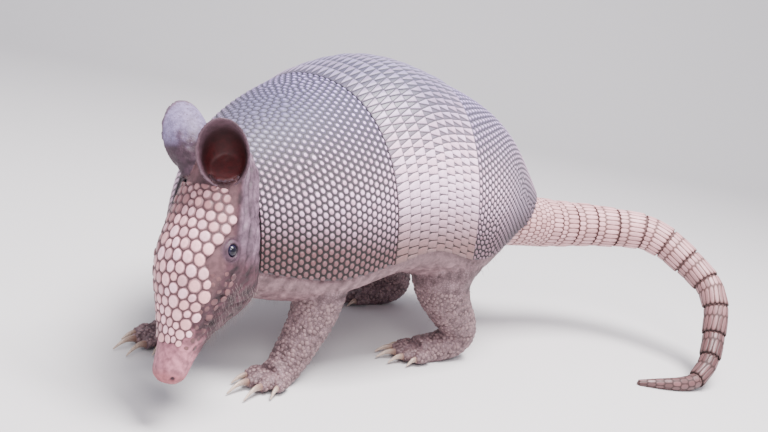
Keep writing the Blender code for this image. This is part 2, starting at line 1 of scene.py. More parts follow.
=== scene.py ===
"""Looks of a life-size nine-banded armadillo: its skin, shell scales, tail, eyes, claws and bristles.

Metres, +Z up.  The shapes follow the same measures as the solids: a body drawn straight and then
curved to its left, a head with its own frame, and a tail and legs along smooth curves.
"""

import logging
import math
from dataclasses import dataclass
from enum import Enum

import bmesh
import bpy
import numpy as np
from mathutils import Matrix, Vector
from mathutils.geometry import delaunay_2d_cdt
from mathutils.kdtree import KDTree


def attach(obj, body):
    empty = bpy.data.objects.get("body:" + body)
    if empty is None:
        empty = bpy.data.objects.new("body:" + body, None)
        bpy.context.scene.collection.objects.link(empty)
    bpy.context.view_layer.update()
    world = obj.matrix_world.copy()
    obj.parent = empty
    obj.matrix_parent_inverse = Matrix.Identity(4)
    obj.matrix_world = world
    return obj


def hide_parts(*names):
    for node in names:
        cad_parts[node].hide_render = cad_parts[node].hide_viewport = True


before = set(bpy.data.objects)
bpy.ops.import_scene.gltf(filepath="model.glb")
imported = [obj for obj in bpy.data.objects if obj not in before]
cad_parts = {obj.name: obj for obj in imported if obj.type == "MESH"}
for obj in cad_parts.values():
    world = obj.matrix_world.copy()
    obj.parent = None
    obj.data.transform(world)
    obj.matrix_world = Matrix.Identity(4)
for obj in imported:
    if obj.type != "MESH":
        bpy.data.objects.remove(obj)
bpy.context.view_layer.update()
TUFT_PATCH = 0.0015  # half the side of a tuft's patch on the unwrap
RIM_TO_RIM = (0.002, 0.998)  # of the shell, just inside its rims
log = logging.getLogger("armadillo")

Array = np.ndarray
Colour = tuple[float, float, float]


class Side(Enum):
    """Left or right, with the sign of its x."""

    LEFT = 1.0
    RIGHT = -1.0

    @property
    def label(self) -> str:
        """The side's name in lower case."""
        return self.name.lower()

    @property
    def place(self) -> int:
        """The side's place in a pair, left first."""
        return 0 if self is Side.LEFT else 1


class Zone(Enum):
    """Regions of the skin, each with its own colour and texture."""

    HEAD = 0
    NECK = 1
    TRUNK = 2
    LEG = 3
    EAR_BACK = 4
    EAR_INSIDE = 5


# ---------------------------------------------------------------- curves and surfaces
def power(value: Array, exponent: float) -> Array:
    """Signed power, for superellipses."""
    return np.sign(value) * np.abs(value) ** exponent


def unit(vectors: Array) -> Array:
    """Vectors scaled to length one."""
    return vectors / np.maximum(np.linalg.norm(vectors, axis=-1, keepdims=True), 1e-12)


def ease(low: float, high: float, value: Array) -> Array:
    """Smooth step from 0 at low to 1 at high."""
    t = np.clip((np.asarray(value, float) - low) / (high - low), 0.0, 1.0)
    return t * t * (3.0 - 2.0 * t)


def bump(value: Array, middle: float, width: float) -> Array:
    """Bell curve of height 1."""
    return np.exp(-(((np.asarray(value, float) - middle) / width) ** 2))


def full_turn(count: int) -> Array:
    """Even angles once round."""
    return np.linspace(0.0, 2.0 * math.pi, count, endpoint=False)


class Spline:
    """A natural cubic through the rows of a table, read by row number."""

    def __init__(self, rows: tuple[tuple[float, ...], ...]) -> None:
        """Solves the bow of each row.

        Args:
            rows: The table.
        """
        self.rows = np.array(rows, float)
        self.last = len(rows) - 1
        system = np.eye(self.last + 1)
        slopes = np.zeros_like(self.rows)
        for row in range(1, self.last):
            system[row, row - 1 : row + 2] = (1.0, 4.0, 1.0)
            slopes[row] = 6.0 * (self.rows[row - 1] - 2.0 * self.rows[row] + self.rows[row + 1])
        self.bow = np.linalg.solve(system, slopes)

    def __call__(self, place: Array) -> Array:
        """Rows at the given places, one per place.

        Args:
            place: Row numbers, which may lie between rows.

        Returns:
            A row for each place.
        """
        place = np.asarray(place, float)
        left = np.clip(np.floor(place).astype(int), 0, self.last - 1)
        t = (place - left)[..., None]
        s = 1.0 - t
        straight = s * self.rows[left] + t * self.rows[left + 1]
        return straight + ((s**3 - s) * self.bow[left] + (t**3 - t) * self.bow[left + 1]) / 6.0


@dataclass(frozen=True)
class Stance:
    """How the straight body is curved and placed."""

    bend_per_metre: float = math.radians(186.5)
    centre: tuple[float, float] = (0.0507, 0.0430)

    def curved(self, points: Array) -> Array:
        """Moves points of the straight body to their place in the curved one.

        Args:
            points: Points of the straight body.

        Returns:
            Points of the model.
        """
        turn = self.bend_per_metre * points[..., 1]
        x = (1.0 - np.cos(turn)) / self.bend_per_metre + points[..., 0] * np.cos(turn)
        y = np.sin(turn) / self.bend_per_metre - points[..., 0] * np.sin(turn)
        return np.stack((x - self.centre[0], y - self.centre[1], points[..., 2]), -1)

    def carried(self, points: Array, anchor: Array) -> Array:
        """Moves points of a limb, which its anchor carries stiffly.

        Args:
            points: Points of the straight body.
            anchor: The limb's root in the straight body.

        Returns:
            Points of the model.
        """
        points = np.asarray(points, float)
        root = np.empty_like(points)
        root[..., 0], root[..., 1], root[..., 2] = anchor[0], anchor[1], points[..., 2]
        turn = self.bend_per_metre * anchor[1]
        dx, dy = points[..., 0] - anchor[0], points[..., 1] - anchor[1]
        offset = np.stack(
            (
                dx * math.cos(turn) + dy * math.sin(turn),
                dy * math.cos(turn) - dx * math.sin(turn),
                np.zeros_like(dx),
            ),
            -1,
        )
        return self.curved(root) + offset

    def moved(self, points: Array) -> Array:
        """Shifts points that are already curved onto the model's centre."""
        return np.asarray(points, float) - (self.centre[0], self.centre[1], 0.0)


STANCE = Stance()


class Surface:
    """A curved face, read by a place along it and a place across it."""

    step_along = 1e-3
    step_across = 1e-3

    def flat(self, along: Array, across: Array) -> Array:
        """Points before they are posed."""
        raise NotImplementedError

    def posed(self, points: Array) -> Array:
        """Points moved to their place in the model."""
        raise NotImplementedError

    def at(self, along: Array, across: Array, lift: Array = 0.0) -> Array:
        """Points of the face.

        Args:
            along: Places along the face.
            across: Places across it, of the same shape.
            lift: Height over the face along its normal.

        Returns:
            Points in the model's frame.
        """
        along, across = np.broadcast_arrays(np.asarray(along, float), np.asarray(across, float))
        one, two = self.step_along, self.step_across
        lengthwise = self.flat(along + one, across) - self.flat(along - one, across)
        inner = self.held(across)
        sideways = self.flat(along, inner + two) - self.flat(along, inner - two)
        normal = unit(np.cross(lengthwise, sideways))
        return self.posed(self.flat(along, across) + normal * np.asarray(lift)[..., None])

    def held(self, across: Array) -> Array:
        """Places across, kept off any edge where the face has no slope."""
        return across


@dataclass
class ShellForm(Surface):
    """The outer face of the shell: a row of superelliptic arches."""

    stations: tuple[tuple[float, ...], ...] = (
        (-0.142, 0.078, -0.153, 0.151, 0.033),
        (-0.096, 0.075, -0.101, 0.176, 0.067),
        (-0.044, 0.086, -0.0545, 0.194, 0.084),
        (0.010, 0.094, -0.005, 0.209, 0.087),
        (0.058, 0.086, 0.051, 0.2005, 0.0845),
        (0.100, 0.089, 0.1145, 0.176, 0.073),
        (0.155, 0.101, 0.1635, 0.124, 0.025),
    )
    squareness: float = 2.2
    step_along: float = 0.002
    step_across: float = 0.002

    def __post_init__(self) -> None:
        """Reads the stations as a curve."""
        self.station = Spline(self.stations)

    def flat(self, along: Array, across: Array) -> Array:
        """Points of the straight shell; across runs from 0 at the left rim to 1 at the right.

        Args:
            along: Stations, from the nape to the tail.
            across: Places from 0 at the left rim to 1 at the right.

        Returns:
            The points.
        """
        row = self.station(along)
        angle = math.pi * np.asarray(across, float)
        out = power(np.cos(angle), 2.0 / self.squareness)
        up = power(np.sin(angle), 2.0 / self.squareness)
        return np.stack(
            (
                row[..., 4] * out,
                row[..., 0] + (row[..., 2] - row[..., 0]) * up,
                row[..., 1] + (row[..., 3] - row[..., 1]) * up,
            ),
            -1,
        )

    def posed(self, points: Array) -> Array:
        """Curves the straight shell."""
        return STANCE.curved(points)

    def held(self, across: Array) -> Array:
        """Keeps the slope's place off the rims."""
        return np.clip(across, 0.02, 0.98)


@dataclass
class HeadForm(Surface):
    """The head's skin, by distance from the nape side to the nose and angle from the crown."""

    base: Colour = (0.0633, -0.1653, 0.1352)
    yaw: float = math.radians(3.0)
    pitch: float = math.radians(74.0)
    tilt: float = math.radians(11.5)
    roundness: float = 0.92
    stations: tuple[tuple[float, ...], ...] = (
        (-0.0236, 0.0108, 0.0059, 0.0157),
        (-0.0137, 0.0159, 0.0113, 0.0236),
        (0.0020, 0.0198, 0.0145, 0.0275),
        (0.0196, 0.0234, 0.0165, 0.0329),
        (0.0373, 0.0253, 0.0190, 0.0383),
        (0.0530, 0.0236, 0.0182, 0.0422),
        (0.0668, 0.0191, 0.0142, 0.0344),
        (0.0805, 0.0148, 0.0096, 0.0214),
        (0.0943, 0.0118, 0.0081, 0.0140),
        (0.1061, 0.0107, 0.0080, 0.0102),
        (0.1100, 0.0094, 0.0071, 0.0085),
        (0.1124, 0.0066, 0.0047, 0.0056),
    )
    eye_station: float = 0.034
    eye_angle: float = math.radians(93.0)
    eye_sink: float = 0.0030
    eye_radius: float = 0.0042
    nostril_station: float = 0.1103
    nostril_angle: float = math.radians(70.0)
    step_along: float = 0.001
    step_across: float = 0.03

    def __post_init__(self) -> None:
        """Reads the stations as a curve and sets up the head's frame."""
        self.row = Spline(tuple(row[1:] for row in self.stations))
        self.distances = [row[0] for row in self.stations]
        self.first, self.last = self.distances[0], self.distances[-1]
        forward = Vector((math.sin(self.yaw), -math.cos(self.yaw), 0.0))
        left = Vector((math.cos(self.yaw), math.sin(self.yaw), 0.0))
        upright = Vector((0.0, 0.0, math.cos(self.tilt))) - left * math.sin(self.tilt)
        nape = upright * math.sin(self.pitch) - forward * math.cos(self.pitch)
        side = left * math.cos(self.tilt) + Vector((0.0, 0.0, math.sin(self.tilt)))
        self.axes = np.array((side, nape, side.cross(nape)))
        self.origin = STANCE.moved(np.array(self.base))

    def flat(self, along: Array, across: Array) -> Array:
        """Points in the head's own frame: x to its left, y to its nape, z out of its crown.

        Args:
            along: Distances along the head.
            across: Angles from the crown to its left.

        Returns:
            Points with x to the left, y to the nape and z out of the crown.
        """
        place = np.interp(along, self.distances, range(len(self.distances)))
        row = self.row(place)
        cosine = np.cos(across)
        height = np.where(cosine > 0.0, row[..., 1], row[..., 2])
        return np.stack(
            (
                row[..., 0] * power(np.sin(across), self.roundness),
                -np.asarray(along, float) + 0.0 * cosine,
                height * power(cosine, self.roundness),
            ),
            -1,
        )

    def posed(self, points: Array) -> Array:
        """Moves points from the head's frame to the model's."""
        return points @ self.axes + self.origin

    def local(self, points: Array) -> Array:
        """Moves points from the model's frame to the head's."""
        return (points - self.origin) @ self.axes.T

    def eye(self, side: Side) -> Array:
        """The middle of an eyeball."""
        return self.at(self.eye_station, side.value * self.eye_angle, -self.eye_sink)

    def nostril(self, side: Side) -> Array:
        """The middle of a nostril, in the head's frame."""
        return self.flat(np.array(self.nostril_station), np.array(side.value * self.nostril_angle))

    def places(self, local: Array) -> tuple[Array, Array]:
        """Distance along the head, and degrees round it from the crown, of points in its frame."""
        return -local[:, 1], np.abs(np.degrees(np.arctan2(local[:, 0], local[:, 2])))


@dataclass
class EarForm:
    """An ear: a stalk that opens into a cup with an oval rim."""

    side: Side
    head: HeadForm
    station: float = -0.006
    base_angle: float = math.radians(58.0)
    foot: float = 0.0070
    half_height: float = 0.0208
    half_width: float = 0.0152
    reach: float = 0.0080
    wall: float = 0.0014
    stalks: tuple[float, float] = (0.0140, 0.0238)
    turns: tuple[float, float] = (math.radians(42.0), math.radians(97.0))
    leans: tuple[float, float] = (math.radians(8.0), math.radians(15.0))
    nods: tuple[float, float] = (0.50, 0.15)

    def __post_init__(self) -> None:
        """Works out the ear's axes in the head's frame."""
        pick = self.side.place
        sign = self.side.value
        lean, turn = self.leans[pick], self.turns[pick]
        self.stalk = self.stalks[pick]
        self.root = self.head.flat(np.array(self.station), np.array(sign * self.base_angle))
        self.up = unit(np.array((sign * math.sin(lean), math.cos(lean), self.nods[pick])))
        face = np.array((sign * math.sin(turn), 0.0, math.cos(turn)))
        self.face = unit(face - self.up * face.dot(self.up))
        self.across = np.cross(self.up, self.face)

    def ring(self, place: float, wall: float, count: int) -> Array:
        """One ring of the cup.

        Args:
            place: From 0 at the foot to 1 at the rim.
            wall: Depth inside the outer face.
            count: Points round the ring.

        Returns:
            Points in the model's frame.
        """
        grown = max(place, 0.0)
        swing = 0.5 * math.pi * grown**0.8
        forward = self.reach * grown**2 - 0.003 * math.sin(math.pi * grown)
        centre = self.root + self.up * (self.stalk * place) + self.face * forward
        width = self.foot + (self.half_width - self.foot) * grown**0.75 - wall
        height = 0.9 * self.foot + (self.half_height - 0.9 * self.foot) * grown**1.1 - wall
        direction = self.up * math.sin(swing) - self.face * math.cos(swing)
        angle = full_turn(count)[:, None]
        ring = centre + direction * (height * np.cos(angle)) + self.across * (width * np.sin(angle))
        return self.head.posed(ring)


@dataclass
class TailForm(Surface):
    """The tail, by joint number along it and angle round it."""

    joints: tuple[tuple[float, ...], ...] = (
        (0.047, 0.161, 0.098, 0.038),
        (0.049, 0.177, 0.097, 0.037),
        (0.054, 0.196, 0.097, 0.0355),
        (0.062, 0.216, 0.098, 0.0335),
        (0.074, 0.235, 0.099, 0.031),
        (0.090, 0.253, 0.100, 0.0285),
        (0.108, 0.265, 0.095, 0.026),
        (0.127, 0.272, 0.085, 0.0235),
        (0.147, 0.275, 0.074, 0.021),
        (0.163, 0.271, 0.058, 0.019),
        (0.172, 0.262, 0.038, 0.017),
        (0.180, 0.249, 0.0235, 0.015),
        (0.182, 0.232, 0.0075, 0.0125),
        (0.174, 0.208, 0.0045, 0.0085),
        (0.158, 0.187, 0.0015, 0.0030),
    )
    rings: int = 12

    def __post_init__(self) -> None:
        """Reads the joints as a curve."""
        self.joint = Spline(self.joints)

    def at(self, along: Array, across: Array, lift: Array = 0.0) -> Array:
        """Points round the tail, lifted off it.

        Args:
            along: Places counted in joints.
            across: Angles round the tail.
            lift: Height over its face.

        Returns:
            Points in the model's frame.
        """
        along, across = np.broadcast_arrays(np.asarray(along, float), np.asarray(across, float))
        row = self.joint(along)
        heading = unit((self.joint(along + 0.01) - self.joint(along - 0.01))[..., :3])
        sideways = unit(np.cross(heading, (0.0, 0.0, 1.0)))
        upward = np.cross(sideways, heading)
        radius = (row[..., 3] / 2.0 + lift)[..., None]
        out = sideways * np.cos(across)[..., None] + upward * np.sin(across)[..., None]
        return STANCE.moved(row[..., :3] + out * radius)


class Chart:
    """A flat plan of a surface, in metres: x across from its middle, y along it."""

    def __init__(
        self, surface: Surface, along: tuple[float, float], across: tuple[float, float], middle: float
    ) -> None:
        """Measures the surface.

        Args:
            surface: The face to lay flat.
            along: First and last place along it.
            across: First and last place across it.
            middle: The place across where x is 0.
        """
        self.surface = surface
        self.alongs = np.linspace(*along, 61)
        self.acrosses = np.linspace(*across, 161)
        grid = surface.at(self.alongs[:, None], self.acrosses[None, :])
        arcs = np.linalg.norm(np.diff(grid, axis=1), axis=-1)
        self.arcs = np.concatenate((np.zeros((len(grid), 1)), np.cumsum(arcs, axis=1)), axis=1)
        centre = int(np.argmin(np.abs(self.acrosses - middle)))
        self.arcs -= self.arcs[:, centre : centre + 1]
        lengths = np.linalg.norm(np.diff(grid, axis=0), axis=-1).mean(axis=1)
        self.ys = np.concatenate(((0.0,), np.cumsum(lengths)))

    @property
    def length(self) -> float:
        """Length of the plan along y."""
        return float(self.ys[-1])

    def span(self, y: Array) -> tuple[Array, Array]:
        """The least and greatest x at heights y of the plan."""
        return np.interp(y, self.ys, self.arcs[:, 0]), np.interp(y, self.ys, self.arcs[:, -1])

    def places(self, plan: Array) -> tuple[Array, Array]:
        """Places along and across the surface for points of the plan.

        Args:
            plan: Points of the plan.

        Returns:
            Their places along and across the surface.
        """
        row = np.interp(plan[:, 1], self.ys, np.arange(len(self.ys)))
        low = np.clip(np.floor(row).astype(int), 0, len(self.ys) - 2)
        share = row - low
        across = np.empty(len(plan))
        for index in np.unique(low):
            picked = low == index
            near = np.interp(plan[picked, 0], self.arcs[index], self.acrosses)
            far = np.interp(plan[picked, 0], self.arcs[index + 1], self.acrosses)
            across[picked] = near + (far - near) * share[picked]
        return np.interp(plan[:, 1], self.ys, self.alongs), across

    def points(self, plan: Array, lift: Array = 0.0) -> Array:
        """Points of the model for points of the plan."""
        return self.surface.at(*self.places(plan), lift)

    def beside(self, plan: Array) -> Array:
        """Points of the model for points of the plan, which goes straight on past its edges.

        Args:
            plan: Points of the plan, on it or past its edges.

        Returns:
            Points of the model.
        """
        inner = plan.copy()
        inner[:, 1] = np.clip(plan[:, 1], 0.0, self.length)
        low, high = self.span(inner[:, 1])
        inner[:, 0] = np.clip(plan[:, 0], low, high)
        at = self.points(inner)
        past = plan - inner
        inward = np.where(past > 0.0, -1.0, 1.0)
        for axis in (0, 1):
            step = np.zeros_like(plan)
            step[:, axis] = 0.0005 * inward[:, axis]
            heading = unit(self.points(inner + step) - self.points(inner)) * inward[:, axis : axis + 1]
            at = at + heading * past[:, axis : axis + 1]
        return at


# ---------------------------------------------------------------- meshes and pieces
def mesh_from(name: str, points: Array, faces: list[tuple[int, ...]]) -> bpy.types.Mesh:
    """A mesh from points and faces.

    Args:
        name: Its name.
        points: Its points.
        faces: Its faces, as numbers of points.

    Returns:
        The mesh.
    """
    mesh = bpy.data.meshes.new(name)
    mesh.from_pydata(np.asarray(points).tolist(), [], faces)
    mesh.update()
    return mesh


def whole_numbers(items: bpy.types.bpy_prop_collection, key: str) -> Array:
    """One whole number of each of a mesh's elements."""
    values = np.empty(len(items), np.int32)
    items.foreach_get(key, values)
    return values


def vectors(items: bpy.types.bpy_prop_collection, key: str) -> Array:
    """One vector of each of a mesh's elements."""
    values = np.empty(len(items) * 3, np.float32)
    items.foreach_get(key, values)
    return values.reshape(-1, 3).astype(float)


def positions(mesh: bpy.types.Mesh) -> Array:
    """The places of a mesh's vertices."""
    return vectors(mesh.vertices, "co")


def move_to(mesh: bpy.types.Mesh, places: Array) -> None:
    """Moves a mesh's vertices to new places."""
    mesh.vertices.foreach_set("co", places.astype(np.float32).ravel())
    mesh.update()


def normals_of(mesh: bpy.types.Mesh) -> Array:
    """The normals of a mesh's vertices."""
    return vectors(mesh.vertex_normals, "vector")


def note(mesh: bpy.types.Mesh, name: str, kind: str, domain: str, values: Array) -> None:
    """Stores values on a mesh as a named attribute.

    Args:
        mesh: The mesh.
        name: The attribute's name.
        kind: Its type, such as FLOAT.
        domain: POINT or FACE.
        values: One value or vector for each element.
    """
    layer = mesh.attributes.new(name, kind, domain)
    key = {"FLOAT": "value", "INT": "value", "FLOAT_COLOR": "color"}.get(kind, "vector")
    number = np.int32 if kind == "INT" else np.float32
    layer.data.foreach_set(key, np.ascontiguousarray(values, number).ravel())


def host_of(data: bpy.types.ID) -> bpy.types.Object:
    """A bare object in the scene that carries a mesh, camera or light, under the same name."""
    host = bpy.data.objects.new(data.name, data)
    bpy.context.scene.collection.objects.link(host)
    return host


def settled(host: bpy.types.Object) -> bpy.types.Mesh:
    """A host's mesh with its modifiers applied; the host is removed.

    Args:
        host: The bare object, which is removed.

    Returns:
        Its mesh with the modifiers applied.
    """
    graph = bpy.context.evaluated_depsgraph_get()
    shape = host.evaluated_get(graph)
    mesh = bpy.data.meshes.new_from_object(shape, preserve_all_data_layers=True, depsgraph=graph)
    bpy.data.objects.remove(host)
    return mesh


def show(
    name: str, mesh: bpy.types.Mesh, material: bpy.types.Material,
    stands_for: tuple[str, ...] = (),
) -> None:
    """Adds a finished piece to the model.

    Args:
        name: The piece's name.
        mesh: Its mesh, in place.
        material: Its finish.
        stands_for: CAD nodes that it replaces.
    """
    mesh.name = name
    mesh.materials.clear()
    mesh.materials.append(material)
    mesh.shade_smooth()
    piece = host_of(mesh)
    piece.name = name
    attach(piece, "root")
    if stands_for:
        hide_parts(*stands_for)
    triangles = sum(len(face.vertices) - 2 for face in mesh.polygons)
    log.info("%s: %d triangles", name, triangles)


def poured(form: bmesh.types.BMesh, mesh: bpy.types.Mesh) -> bpy.types.Mesh:
    """Writes a form into a mesh, frees it and returns the mesh."""
    form.to_mesh(mesh)
    form.free()
    return mesh


def loft(rings: list[Array]) -> tuple[Array, list[tuple[int, ...]]]:
    """A closed skin through rings, capped at both ends.

    Args:
        rings: Rings of equal count.

    Returns:
        Its points and its faces.
    """
    count = len(rings[0])
    points = np.concatenate(rings)
    faces = []
    for row in range(len(rings) - 1):
        for i in range(count):
            j = (i + 1) % count
            a, b = row * count, (row + 1) * count
            faces.append((a + i, a + j, b + j, b + i))
    faces.append(tuple(reversed(range(count))))
    faces.append(tuple(range(len(points) - count, len(points))))
    return points, faces


def turned_out(mesh: bpy.types.Mesh) -> bpy.types.Mesh:
    """The same closed mesh with its faces pointing out.

    Args:
        mesh: A closed mesh, which changes.

    Returns:
        The mesh.
    """
    form = bmesh.new()
    form.from_mesh(mesh)
    bmesh.ops.recalc_face_normals(form, faces=form.faces)
    if form.calc_volume(signed=True) < 0.0:
        bmesh.ops.reverse_faces(form, faces=form.faces)
    return poured(form, mesh)


# ---------------------------------------------------------------- node trees
class Tree:
    """A node tree under construction."""

    family = "GeometryNode"

    def __init__(self, tree: bpy.types.NodeTree) -> None:
        """Takes the tree to build in."""
        self.tree = tree

    def node(
        self, kind: str, sockets: dict[int | str, object] | None = None, **settings: object
    ) -> bpy.types.Node:
        """Adds a node.

        Args:
            kind: The node's type, without its family's prefix.
            sockets: Values or links for its inputs, by name or number.
            settings: Properties of the node.

        Returns:
            The node.
        """
        full = kind if kind.startswith(("Shader", "Function")) else f"{self.family}{kind}"
        made = self.tree.nodes.new(full)
        for label, value in settings.items():
            setattr(made, label, value)
        self.feed(made, sockets or {})
        return made

    def feed(self, made: bpy.types.Node, sockets: dict[int | str, object]) -> None:
        """Sets a node's inputs to values, or links them.

        Args:
            made: The node.
            sockets: Values or links for its inputs, by name or number.
        """
        for label, value in sockets.items():
            if isinstance(value, bpy.types.NodeSocket):
                self.tree.links.new(value, made.inputs[label])
            else:
                made.inputs[label].default_value = value

    def math(self, operation: str, one: object, two: object = 0.0) -> bpy.types.NodeSocket:
        """A sum, product or comparison of two values."""
        return self.node("ShaderNodeMath", {0: one, 1: two}, operation=operation).outputs[0]


class Growth(Tree):
    """A Geometry Nodes tree, and the way to run it."""

    def __init__(self, name: str, **inputs: float | int | bpy.types.Material | None) -> None:
        """Starts a tree.

        Args:
            name: The tree's name.
            inputs: Its inputs with their defaults; None stands for a material.
        """
        super().__init__(bpy.data.node_groups.new(name, "GeometryNodeTree"))
        self.tree.interface.new_socket("Geometry", in_out="OUTPUT", socket_type="NodeSocketGeometry")
        self.tree.interface.new_socket("Geometry", in_out="INPUT", socket_type="NodeSocketGeometry")
        self.identifiers: dict[str, str] = {}
        kinds = {int: "NodeSocketInt", float: "NodeSocketFloat", type(None): "NodeSocketMaterial"}
        for label, value in inputs.items():
            kind = kinds[type(value)]
            socket = self.tree.interface.new_socket(label, in_out="INPUT", socket_type=kind)
            if value is not None:
                socket.default_value = value
            self.identifiers[label] = socket.identifier
        self.start = self.tree.nodes.new("NodeGroupInput")
        self.end = self.tree.nodes.new("NodeGroupOutput")

    def input(self, label: str) -> bpy.types.NodeSocket:
        """One of the tree's inputs, as a socket to link from."""
        return self.start.outputs[label]

    def named(self, label: str, kind: str = "FLOAT") -> bpy.types.NodeSocket:
        """Reads an attribute of the mesh."""
        return self.node("InputNamedAttribute", {"Name": label}, data_type=kind).outputs["Attribute"]

    def store(
        self, shape: bpy.types.NodeSocket, label: str, value: object, chosen: object = True,
        kind: str = "FLOAT", domain: str = "POINT",
    ) -> bpy.types.NodeSocket:
        """Writes an attribute of the mesh and passes the shape on.

        Args:
            shape: The shape.
            label: The attribute's name.
            value: What is written.
            chosen: Where it is written.
            kind: Its type.
            domain: What it lies on.

        Returns:
            The shape with the attribute.
        """
        sockets = {"Geometry": shape, "Selection": chosen, "Name": label, "Value": value}
        made = self.node("StoreNamedAttribute", sockets, data_type=kind, domain=domain)
        return made.outputs["Geometry"]

    def finish(self, shape: bpy.types.NodeSocket) -> None:
        """Ends the tree: real geometry, smooth, in its material.

        Args:
            shape: What the tree gives.
        """
        real = self.node("RealizeInstances", {"Geometry": shape}).outputs["Geometry"]
        smooth = self.node("SetShadeSmooth", {"Geometry": real}).outputs["Geometry"]
        dressed = self.node("SetMaterial", {"Geometry": smooth, "Material": self.input("Material")})
        self.tree.links.new(dressed.outputs["Geometry"], self.end.inputs["Geometry"])

    def run(self, mesh: bpy.types.Mesh, **values: object) -> bpy.types.Mesh:
        """Grows a mesh through the tree.

        Args:
            mesh: The mesh that the tree starts from.
            values: The tree's inputs by name.

        Returns:
            A plain mesh.
        """
        host = host_of(mesh)
        modifier = host.modifiers.new(self.tree.name, "NODES")
        modifier.node_group = self.tree
        for label, value in values.items():
            modifier[self.identifiers[label]] = value
        return settled(host)


def scute_growth() -> Growth:
    """Raises a domed scale on each face whose grade is over zero, with a groove round it.

    Returns:
        A tree that leaves the attribute relief, from 0 in the grooves to 1 on the crowns.
    """
    grow = Growth("scutes", Shoulder=0.86, Crown=0.6, Height=0.0006, Rounding=1, Material=None)
    shape = grow.start.outputs["Geometry"]
    grade = grow.named("grade")
    chosen = grow.math("GREATER_THAN", grade, 0.01)
    shape = grow.store(shape, "relief", 0.0)
    for label, rise, relief in (("Shoulder", 0.70, 0.55), ("Crown", 0.30, 1.0)):
        offset = grow.math("MULTIPLY", grow.math("MULTIPLY", grow.input("Height"), rise), grade)
        sockets = {"Mesh": shape, "Selection": chosen, "Offset Scale": offset, "Individual": True}
        raised = grow.node("ExtrudeMesh", sockets, mode="FACES")
        chosen = raised.outputs["Top"]
        scale = grow.input(label)
        sockets = {"Geometry": raised.outputs["Mesh"], "Selection": chosen, "Scale": scale}
        sized = grow.node("ScaleElements", sockets)
        shape = grow.store(sized.outputs["Geometry"], "relief", relief, chosen)
    round_ = grow.node("SubdivisionSurface", {"Mesh": shape, "Level": grow.input("Rounding")})
    grow.finish(round_.outputs["Mesh"])
    return grow


def scattered(
    grow: Growth, template: bpy.types.NodeSocket, local: bpy.types.NodeSocket, size: bpy.types.NodeSocket
) -> None:
    """Sets a template on each point along its heading, and lays each copy out as a patch at its root.

    Args:
        grow: A tree whose points carry the attributes out (heading), size and root (place on the unwrap).
        template: The shape to repeat, of length or radius 1 along its z.
        local: Its flat layout, from -1 to 1.
        size: Scale of each copy.
    """
    template = grow.store(template, "local", local, kind="FLOAT_VECTOR")
    heading = grow.named("out", "FLOAT_VECTOR")
    turn = grow.node("FunctionNodeAlignRotationToVector", {"Vector": heading}, axis="Z")
    sockets = {"Points": grow.start.outputs["Geometry"], "Instance": template, "Scale": size}
    sockets["Rotation"] = turn.outputs["Rotation"]
    spread = grow.node("InstanceOnPoints", sockets).outputs["Instances"]
    real = grow.node("RealizeInstances", {"Geometry": spread}).outputs["Geometry"]
    sockets = {0: grow.named("local", "FLOAT_VECTOR"), "Scale": TUFT_PATCH}
    patch = grow.node("ShaderNodeVectorMath", sockets, operation="SCALE").outputs["Vector"]
    place = grow.node(
        "ShaderNodeVectorMath", {0: grow.named("root", "FLOAT_VECTOR"), 1: patch}, operation="ADD"
    ).outputs["Vector"]
    grow.finish(grow.store(real, "OFBake", place, kind="FLOAT2", domain="CORNER"))


def grain_growth() -> Growth:
    """Sets a small flattened bead on each point, along its heading."""
    grow = Growth("grains", Flatness=0.55, Sides=6, Material=None)
    sockets = {"Segments": grow.input("Sides"), "Rings": 4, "Radius": 1.0}
    bead = grow.node("MeshUVSphere", sockets).outputs["Mesh"]
    flat = grow.math("MULTIPLY", grow.named("size"), grow.input("Flatness"))
    sockets = {"X": grow.named("size"), "Y": grow.named("size"), "Z": flat}
    local = grow.node("InputPosition").outputs["Position"]
    scattered(grow, bead, local, grow.node("ShaderNodeCombineXYZ", sockets).outputs["Vector"])
    return grow


def bristle_growth() -> Growth:
    """Sets a tapered, bent bristle on each point; thickness and bend are shares of its length."""
    grow = Growth("bristles", Thickness=0.013, Bend=0.30, Material=None)
    sockets = {"Vertices": 3, "Side Segments": 4, "Radius Top": 0.12, "Radius Bottom": 1.0, "Depth": 1.0}
    cone = grow.node("MeshCone", sockets).outputs["Mesh"]
    local = grow.node("InputPosition").outputs["Position"]
    split = grow.node("ShaderNodeSeparateXYZ", {0: local}).outputs
    curl = grow.math("MULTIPLY", grow.math("MULTIPLY", split["Z"], split["Z"]), grow.input("Bend"))
    x = grow.math("ADD", grow.math("MULTIPLY", split["X"], grow.input("Thickness")), curl)
    y = grow.math("MULTIPLY", split["Y"], grow.input("Thickness"))
    place = grow.node("ShaderNodeCombineXYZ", {"X": x, "Y": y, "Z": split["Z"]}).outputs["Vector"]
    shaped = grow.node("SetPosition", {"Geometry": cone, "Position": place}).outputs["Geometry"]
    flat = grow.node("ShaderNodeCombineXYZ", {"X": grow.math("SUBTRACT", split["Z"], 0.5), "Y": y})
    size = grow.node("ShaderNodeCombineXYZ", {axis: grow.named("size") for axis in "XYZ"})
    scattered(grow, shaped, flat.outputs["Vector"], size.outputs["Vector"])
    return grow


def points_mesh(name: str, places: Array, out: Array, size: Array, root: Array) -> bpy.types.Mesh:
    """Loose points for a tree that scatters.

    Args:
        name: The mesh's name.
        places: Where each copy stands.
        out: Its heading.
        size: Its scale.
        root: Its place on an unwrap of the surface, both values from 0 to 1.

    Returns:
        A mesh of points only.
    """
    mesh = mesh_from(name, places, [])
    note(mesh, "out", "FLOAT_VECTOR", "POINT", out)
    note(mesh, "size", "FLOAT", "POINT", size)
    flat = np.column_stack((np.asarray(root), np.zeros(len(places))))
    note(mesh, "root", "FLOAT_VECTOR", "POINT", flat)
    return mesh


